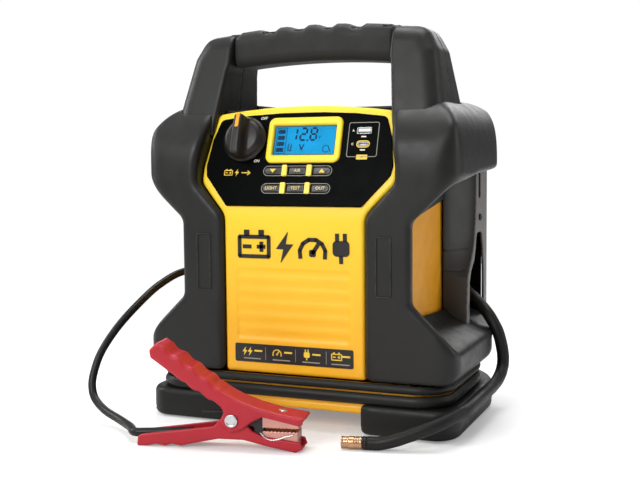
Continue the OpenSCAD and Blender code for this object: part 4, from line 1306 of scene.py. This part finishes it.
def bay_face(x, y, z):
    """The bay's side plate, whose outer skin is smoother than its front wall and painted paler, as a painted sheen
    for the light the plate catches.
    """
    return np.maximum(bay(x, y, z) - 0.15, BAY_X - 1.2 - x)


bay_mesh = moulded("right_bay_moulding", bay, (RECESS_X - 1, 16, 77), (BAY_X, SPLIT_Y, 226), 1.1)
both_sides(bay_mesh, bay_black, "bay_cover", "base_black")
# the side plate's paler grey is a painted sheen
plate_mesh = moulded("right_bay_plate", bay_face, (BAY_X - 2, 16, 77), (BAY_X + 0.2, SPLIT_Y, 226), 0.9)
both_sides(plate_mesh, bay_sheen_grey, slot="base_black")

# a near-black sheet across the back of each bay paints the shade inside it
shade_sheet_outline = [(CORE_X + 5, 84), (BAY_X - 3.4, 84), (BAY_X - 3.4, 205), (CORE_X + 5, 205)]
shade_sheet = plate("right_bay_liner", [shade_sheet_outline], -83, -81.5, (np.zeros(3), (ACROSS, UP, TO_FRONT)))
both_sides(shade_sheet, bay_painted_shade, slot="base_black")

# ---------- hose, cables and clamps ----------

valve = next(m for m in frame["record"]["mounts"] if m["name"] == "tyre_valve")
mouth_out = np.array(valve["axis"], float)
chuck_at = np.array(valve["pos_m"]) / MM - 12.7 * mouth_out
CHUCK = (chuck_at, (np.cross(UP, mouth_out), UP, mouth_out))
HOSE_R = 5.6
HOSE = [
    (104, 68, 114), (113, 63, 105), (125, 55.5, 96.5), (138, 45, 86), (148, 41, 70.5), (152.6, 41, 52),
    (153, 38, 38), (151.8, 18, 28.5), (150.6, -35, 26.3), (150.4, -80, 26.2), (146, -99, 25.3),
    (133, -118, 20), (107.3, -130, 10.2), tuple(chuck_at - 13 * mouth_out + (0, 0, 0.4)),
    tuple(chuck_at - 6 * mouth_out), tuple(chuck_at - 2.2 * mouth_out)]
piece(tube_mesh("hose_skin", HOSE, HOSE_R, ripple=lambda s: 0.06 * math.sin(s * 2.2)), rubber, "air_hose",
      "hose_rubber")


def collar(u, v, w):
    d = smax(length(u, v) - HOSE_R, slab(w, -2, 1.6), 1.2)
    d = smax(d, -smax(np.abs(w + 0.2) - 0.4, 5.2 - length(u, v), 0.2), 0.3)
    return np.maximum(d, -np.maximum(length(u, v) - 3, 0.4 - w))


def chuck(u, v, w):
    r = length(u, v)
    body = 5.3 - 0.55 * np.clip((w - 12.5) / 1.0, 0, 1) + 0.35 * np.clip((w - 17.2) / 0.5, 0, 1)
    d = smax(r - body, slab(w, 1.7, 18.7), 0.7)
    for k in range(3):
        d = smax(d, -smax(np.abs(w - 4.2 - 1.7 * k) - 0.32, 4.95 - r, 0.2), 0.3)
    # the mouth holds a shallow cone round its bore
    d = smax(d, -np.maximum(r - 4.0 - 0.6 * np.maximum(w - 17.9, 0), 6.7 - w), 0.3)
    return np.maximum(d, -(r - 1.0))


def chuck_pin(u, v, w):
    """The depressor that opens a valve, in the middle of the chuck."""
    r = length(u, v)
    return smax(r - 1.5 - 0.8 * np.clip((9 - w) / 1.2, 0, 1), slab(w, 6.6, 14.5), 0.4)


mould("hose_collar", collar, (-7, -7, -2), (7, 7, 1.6), 0.4, knob_black, "hose_ferrule", "hose_rubber",
      at=CHUCK)
mould("chuck_turned", chuck, (-6, -6, 1.6), (6, 6, 18.8), 0.35, brass, "air_chuck", "chuck_brass", at=CHUCK)
mould("chuck_depressor", chuck_pin, (-3, -3, 6), (3, 3, 15), 0.3, steel, at=CHUCK)


def clamp_axes(name):
    """The place, on the floor, and the directions of a clamp, from its hinge."""
    at, axis = joint(name + "_clamp_squeeze")
    along = np.array([-axis[1], axis[0], 0.0])
    return np.array([at[0], at[1], 0.0]) - PIVOT[0] * along, along, -axis


# the clamp's hinge, along it and up from the floor
PIVOT = np.array([81.6, 24.9])
PIN_HOLE_R = 3.9
CLAMP_W, SQUEEZE = 27.0, math.radians(32)
lower_shape = [
    (0, 0, 1), (1, 8, 2), (5, 10, 2), (36, 14.5, 0), (66, 19, 3), (71, 24.5, 4), (77, 31.5, 5),
    (86, 31.5, 5), (90, 24, 4), (98, 16, 2), (106, 12, 3), (137, 8.5, 1), (139, 3, 1), (133, 0, 1),
    (112, 3.6, 6), (90, 8.5, 8), (69, 8.5, 8), (44, 3, 3), (38, 1.4, 2), (30, 2.8, 2), (24, 0.8, 2),
    (16, 2.2, 2), (9, 0.3, 2)]
upper_shape = [
    (20, 86.8, 3), (12.8, 80, 3), (13.6, 73.6, 3), (28, 63.5, 3), (46, 51, 4), (58, 44.3, 4), (72, 35.5, 3),
    (74.5, 31, 3), (71, 22, 6), (79, 13.6, 7), (90, 17, 4), (97, 23, 2), (106.5, 28, 1.5),
    (137.3, 21.6, 0.5), (141.5, 28.6, 1), (120, 31.8, 8), (100, 36.8, 8), (85, 42.3, 6), (74, 48, 6),
    (62, 56.5, 6), (50, 65, 6), (40, 72.3, 6), (30, 78.6, 6)]
lower_profile = Profile(filleted(lower_shape), 0.4)
upper_profile = Profile(filleted(upper_shape), 0.4)
lower_web = Profile([
    (-3, -3), (-1, 5), (44, 7), (69, 11.4), (90, 11.4), (112, 6.6), (132, 3.4), (145, 2.5), (145, -4)], 0.4)
upper_web = Profile([
    (10, 90), (17.5, 83.5), (28.2, 75.2), (38.2, 69.4), (48.2, 61.8), (60.4, 53.3), (72.4, 44.8),
    (83.6, 39.2), (99, 33.6), (119.3, 28.6), (138.5, 25.4), (150, 24), (150, 60), (60, 100)], 0.4)


def lower_half(s, n, z):
    d = smax(lower_profile(s, z), np.abs(n) - CLAMP_W / 2 + 3.1, 1.8)
    walls = smin(CLAMP_W / 2 - 5.6 - np.abs(n), lower_web(s, z), 1.5)
    d = smax(d, walls, 0.6)
    return np.maximum(d, -(length(s - PIVOT[0], z - PIVOT[1]) - PIN_HOLE_R))


def upper_half(s, n, z):
    # waves for the fingers run along the top of the handle
    wave = 0.7 * np.sin((s - 16) * 0.52) * np.clip((s - 20) / 6, 0, 1) * np.clip((74 - s) / 8, 0, 1)
    top = np.clip((z - (92 - s)) / 5, 0, 1)
    d = smax(upper_profile(s, z) + wave * top, np.abs(n) - CLAMP_W / 2, 3.6)
    walls = smin(CLAMP_W / 2 - 2.8 - np.abs(n), upper_web(s, z), 2)
    d = smax(d, walls, 0.6)
    # the jaw end of each side is pressed in a little, with a raised border above it
    dent = rect(s - 118, z - 27.5 + 0.2 * (s - 118), 15, 1.4, 1)
    d = smax(d, -smax(dent, CLAMP_W / 2 - 0.4 - np.abs(n), 0.3), 0.8)
    return np.maximum(d, -(length(s - PIVOT[0], z - PIVOT[1]) - PIN_HOLE_R))


def insulator_block(s, n, z):
    neck = rect(s - 94, z - 21.8, 5, 2.4, 1.2)
    block = rect(s - 102.8, z - 19.6, 4.2, 7.2, 1.4)
    return smax(smin(neck, block, 1.5), np.abs(n) - 8.2, 0.8)


def jaw_field(upper):
    def field(s, n, z):
        tooth = 1.6 * (np.abs(((s - 110.5) / 3) % 1 - 0.5) * 2 - 0.5)
        if upper:
            line = 18.6 + tooth * 0.5
            block = smax(slab(s, 105.5, 135.5), line - z, 0.3)
            block = np.maximum(block, z - (31 - (s - 108) * 0.2))
        else:
            line = 16.3 + tooth * 0.5
            block = smax(slab(s, 105.5, 134.5), z - line, 0.3)
            block = np.maximum(block, (8.2 - (s - 108) * 0.16) - z)
        d = smax(block, np.abs(n) - 8.4, 1.0)
        return d
    return field


def coil(s, n, z):
    """The hinge's coil and its two legs, kept clear of the upper handle when it is squeezed."""
    r = length(s - PIVOT[0], z - PIVOT[1])
    ridge = 0.35 * np.cos(n * 2 * math.pi / 1.8)
    d = smax(r - 5.6 - ridge, np.abs(n) - 6.3, 0.4)
    d = np.maximum(d, -(r - 4.2))
    for side, angle in ((-1, 181), (1, 196)):
        a = math.radians(angle)
        tip = PIVOT + 26 * np.array([math.cos(a), math.sin(a)])
        up = np.array([-math.sin(a), math.cos(a)]) * 4.9 * (1 if side > 0 else -1)
        d = smin(d, capsule(s, n, z, (PIVOT[0] + up[0], side * 4.6, PIVOT[1] + up[1]),
                            (tip[0] + up[0], side * 4.6, tip[1] + up[1]), 0.8), 0.5)
    ds, dz, c, t = s - PIVOT[0], z - PIVOT[1], math.cos(SQUEEZE), math.sin(SQUEEZE)
    squeezed = upper_half(PIVOT[0] + ds * c + dz * t, n, PIVOT[1] - ds * t + dz * c)
    return np.maximum(d, 0.5 - squeezed)


def pin(s, n, z):
    r = length(s - PIVOT[0], z - PIVOT[1])
    d = smax(r - 3.5, np.abs(n) - CLAMP_W / 2 - 1, 0.4)
    head = smax(r - 5.3, slab(np.abs(n), CLAMP_W / 2 + 0.2, CLAMP_W / 2 + 2.0), 0.9)
    dimple = smax(r - 3.7, CLAMP_W / 2 + 1.55 - np.abs(n), 0.4)
    return np.minimum(d, smax(head, -dimple, 0.4))


def rivet(s, n, z):
    """A rivet set square to the sloping top of the clamp."""
    ds, dz = s - 121.5, z - 31.6
    along, out = ds * 0.98 - dz * 0.2, ds * 0.2 + dz * 0.98
    return smax(length(along, n) - 3.6, slab(out, -1.5, 1.0 - 0.03 * (along ** 2 + n ** 2)), 0.5)


BRAID = [
    (104, 8.6, 15), (108, 9.4, 11.5), (113, 9.7, 9.6), (119, 9.6, 10.4), (125, 9.3, 12.6), (131, 8.9, 13.8)]


def clamp_pieces(name, plastic, slot):
    """Both halves of a clamp, its jaws, spring, pin and braid."""
    at, along, beside = clamp_axes(name)
    place_at = (at, (along, beside, UP))
    half = CLAMP_W / 2
    moving = name + "_clamp_handle"

    def add(title, field, low, high, step, material, node=None, body="housing"):
        slots = {"clamp": slot, "jaw": "jaw_copper"}
        node_slot = slots.get(node.split("_")[0]) if node else None
        node = f"{name}_{node}" if node else None
        mould(f"{name}_{title}", field, low, high, step, material, node, node_slot, body, place_at)

    add("lower_handle", lower_half, (-1, -half, 0), (140, half, 34), 0.9, plastic, "clamp_lower")
    add("upper_handle", upper_half, (9, -half, 10), (145, half, 90), 0.9, plastic, "clamp_upper", moving)
    add("lower_jaw_copper", jaw_field(False), (105, -9, 2), (136, 9, 18), 0.45, copper, "jaw_lower")
    add("upper_jaw_copper", jaw_field(True), (105, -9, 17), (137, 9, 38), 0.45, copper, "jaw_upper", moving)
    add("jaw_insulator", insulator_block, (86, -9, 11), (109, 9, 30), 0.7, insulator)
    add("hinge_spring", coil, (50, -8, 8), (90, 8, 42), 0.5, spring_black)
    add("hinge_pin", pin, (74, -half - 2, 17), (87, half + 2, 30), 0.5, steel)
    add("top_rivet", rivet, (116, -4, 28), (127, 4, 35), 0.4, steel, body=moving)
    braid = [at + s * along - n * beside + z * UP for s, n, z in BRAID]
    piece(tube_mesh(name + "_jaw_braid", braid, 0.75, ripple=lambda s: 0.12 * math.sin(s * 5)), steel)


clamp_pieces("red", clamp_red, "clamp_red")
clamp_pieces("black", clamp_black, "clamp_black")
# one CAD node holds both clamps' pins, and one both springs
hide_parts("clamp_pins")
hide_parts("clamp_springs")


def clamp_point(name, s, n, z):
    at, along, beside = clamp_axes(name)
    return at + s * along + n * beside + z * UP


def tail(name, first):
    return [clamp_point(name, *first)] + [clamp_point(name, s, 0, 8.6 + 0.06 * s) for s in (6, 26, 46)]


RED_RUN = [
    (-106, 57, 122), (-119, 52, 120), (-134, 26, 122), (-151, -16, 123), (-162, -45, 113), (-168, -74, 98),
    (-176, -98, 79), (-182, -116, 59), (-183.7, -126, 42), (-182, -132, 30), (-175.3, -137, 20),
    (-160, -144, 12.6), (-138, -154, 8.6), (-119, -168, 8)]
BLACK_RUN = [
    (-106, 66, 104), (-120, 67, 101), (-136, 72, 94), (-151, 84, 76), (-157, 102, 50), (-150, 130, 25),
    (-128, 158, 10), (-98, 176, 6.8)]
for name, run, first in (("red", RED_RUN, (-6, 1, 8.4)), ("black", BLACK_RUN, (-10, 0.5, 7.6))):
    points = [np.array(p, float) for p in run] + tail(name, first)
    piece(tube_mesh(name + "_cable_skin", points, 3.6), cable_skin, name + "_cable", "hose_rubber")

# ---------- the back's fittings ----------


def flap(x, y, z):
    m = (flap_low + flap_high) / 2
    d = smax(rect(x - m[0], z - m[2] + 0.4, 23.6, 19.0, 2.5), slab(y, BACK_Y - 2.6, BACK_Y), 0.9)
    finger = smax(length(x - m[0], (z - flap_low[2] - 1.5) * 1.6) - 8, BACK_Y - 1.0 - y, 0.4)
    d = smax(d, -finger, 0.6)
    frame_line = np.abs(rect(x - m[0], z - m[2] + 0.5, 18.5, 14, 2)) - 0.4
    d = smax(d, -smax(frame_line, BACK_Y - 0.6 - y, 0.2), 0.3)
    hinge = np.maximum(length(y - BACK_Y + 1.4, z - flap_high[2] + 1.4) - 1.4, np.abs(x - m[0]) - 23.7)
    return np.minimum(d, hinge)


mould("inlet_flap_moulding", flap, (flap_low[0], flap_low[1] - 1, flap_low[2]),
      (flap_high[0], BACK_Y, flap_high[2] + 1), 0.6, black, "ac_flap", "shell_black", body="inlet_flap")


def lens(x, y, z):
    d = smax(rect(x, z - (lens_low[2] + lens_high[2]) / 2, 35, 9, 4.8), slab(y, lens_low[1], lens_high[1]), 1)
    flute = 0.35 * np.abs(np.sin(x * math.pi / 5))
    return np.maximum(d, lens_low[1] + flute - y)


mould("lamp_lens_moulding", lens, lens_low, lens_high, 0.6, lamp_clear, "lamp_lens", "lamp_clear")

# ---------- pieces kept from the CAD ----------

KEPT = {
    "rubber_pads": pad_rubber, "main_board": board_green, "rotary_switch": switch_black,
    "housing_screws": screw_metal, "battery": battery_grey, "battery_terminals": brass,
    "compressor_motor": motor_paint, "compressor_frame": alloy, "motor_rotor": steel, "crank_gear": nylon,
    "piston": alloy, "charger_board": board_green, "ac_inlet": switch_black, "lamp_reflector": chrome,
}
for node, material in KEPT.items():
    data = frame["nodes"][node].data
    data.materials.clear()
    data.materials.append(material)


# ---------- camera, light and floor ----------

def stage():
    scene = bpy.context.scene
    world = bpy.data.worlds.new("studio")
    scene.world = world
    s = Shader(world, "OutputWorld")
    # white to the camera; to the pack, dim at the sides and brighter overhead, so that faces fall off
    backdrop, fill = s.add("Background"), s.add("Background")
    backdrop.inputs["Color"].default_value = (1, 1, 1, 1)
    backdrop.inputs["Strength"].default_value = BACKDROP
    split = s.add("SeparateXYZ")
    s.link(s.add("TexCoord").outputs["Generated"], split.inputs[0])
    s.link(s.ramp(split.outputs["Z"], FILL_LOW, FILL_HIGH, (0.0, 0.9)), fill.inputs["Strength"])
    s.switch(s.camera_ray(), fill.outputs[0], backdrop.outputs[0])

    floor = bpy.data.meshes.new("floor")
    floor.from_pydata([(-6, -6, 0), (6, -6, 0), (6, 6, 0), (-6, 6, 0)], [], [(0, 1, 2, 3)])
    floor_obj = bpy.data.objects.new("floor", floor)
    scene.collection.objects.link(floor_obj)
    floor.materials.append(floor_finish())

    for name, at, aim, size, power in LIGHTS:
        light = bpy.data.lights.new(name, "AREA")
        light.shape = "RECTANGLE"
        light.size, light.size_y = size
        light.energy = power
        obj = bpy.data.objects.new(name, light)
        obj.location = at
        obj.rotation_euler = (Vector(aim) - Vector(at)).to_track_quat("-Z", "Y").to_euler()
        scene.collection.objects.link(obj)
    scene.view_settings.view_transform = "Standard"


FILL_LOW, FILL_HIGH = 0.14, 0.7
FLOOR_GLOW = 0.3
BACKDROP = 1.02
LIGHTS = (
    ("front_light", (-0.3, -1.5, 0.9), (0, 0, 0.2), (0.9, 0.7), 15),
    ("top_light", (0.0, 0.15, 1.5), (0, 0.05, 0.25), (1.0, 0.7), 13),
    ("back_light", (-0.3, 1.7, 1.1), (0, 0, 0.3), (1.6, 0.7), 13),
    ("left_light", (-1.5, -0.2, 0.9), (0, 0, 0.25), (0.5, 1.0), 11),
    ("right_light", (1.5, 0.5, 0.6), (0.1, 0, 0.15), (0.5, 1.0), 3.5),
)


def floor_finish():
    """A pale floor that takes soft shadows near the pack and fades into the white backdrop further off."""
    s = Shader(bpy.data.materials.new("pale_floor"))
    near = s.add("BsdfPrincipled")
    tint = s.mix(s.noise(3.0, 2.0), (0.80, 0.80, 0.80), (0.84, 0.84, 0.84))
    s.link(tint, near.inputs["Base Color"])
    near.inputs["Roughness"].default_value = 0.7
    near.inputs["Specular IOR Level"].default_value = 0.2
    seen = s.camera_ray()
    s.link(tint, near.inputs["Emission Color"])
    s.link(s.ramp(seen, 0.0, FLOOR_GLOW), near.inputs["Emission Strength"])
    far = s.add("Emission")
    far.inputs["Strength"].default_value = BACKDROP
    distance = s.add("VectorMath", operation="LENGTH")
    s.link(s.add("NewGeometry").outputs["Position"], distance.inputs[0])
    fade = s.add("Math", operation="MULTIPLY")
    s.link(s.ramp(distance.outputs["Value"], 0.0, 1.0, (0.28, 0.6)), fade.inputs[0])
    s.link(seen, fade.inputs[1])
    s.switch(fade.outputs[0], near.outputs[0], far.outputs[0])
    return s.owner


CAMERA_AT = (0.3509, -0.8820, 0.2335)
CAMERA_TURN, CAMERA_PITCH, CAMERA_ROLL = (math.radians(a) for a in (22.44, 4.66, -0.5))
CAMERA_LENS = 56.86


def camera():
    turn, pitch = CAMERA_TURN, CAMERA_PITCH
    ahead = Vector((-math.sin(turn) * math.cos(pitch), math.cos(turn) * math.cos(pitch), -math.sin(pitch)))
    right = Vector((math.cos(turn), math.sin(turn), 0))
    up = right.cross(ahead)
    rolled = right * math.cos(CAMERA_ROLL) + up * math.sin(CAMERA_ROLL)
    up = rolled.cross(ahead)
    data = bpy.data.cameras.new("camera")
    data.lens = CAMERA_LENS
    obj = bpy.data.objects.new("camera", data)
    obj.matrix_world = Matrix((
        (rolled.x, up.x, -ahead.x, CAMERA_AT[0]), (rolled.y, up.y, -ahead.y, CAMERA_AT[1]),
        (rolled.z, up.z, -ahead.z, CAMERA_AT[2]), (0, 0, 0, 1)))
    bpy.context.scene.collection.objects.link(obj)
    bpy.context.scene.camera = obj


stage()
camera()
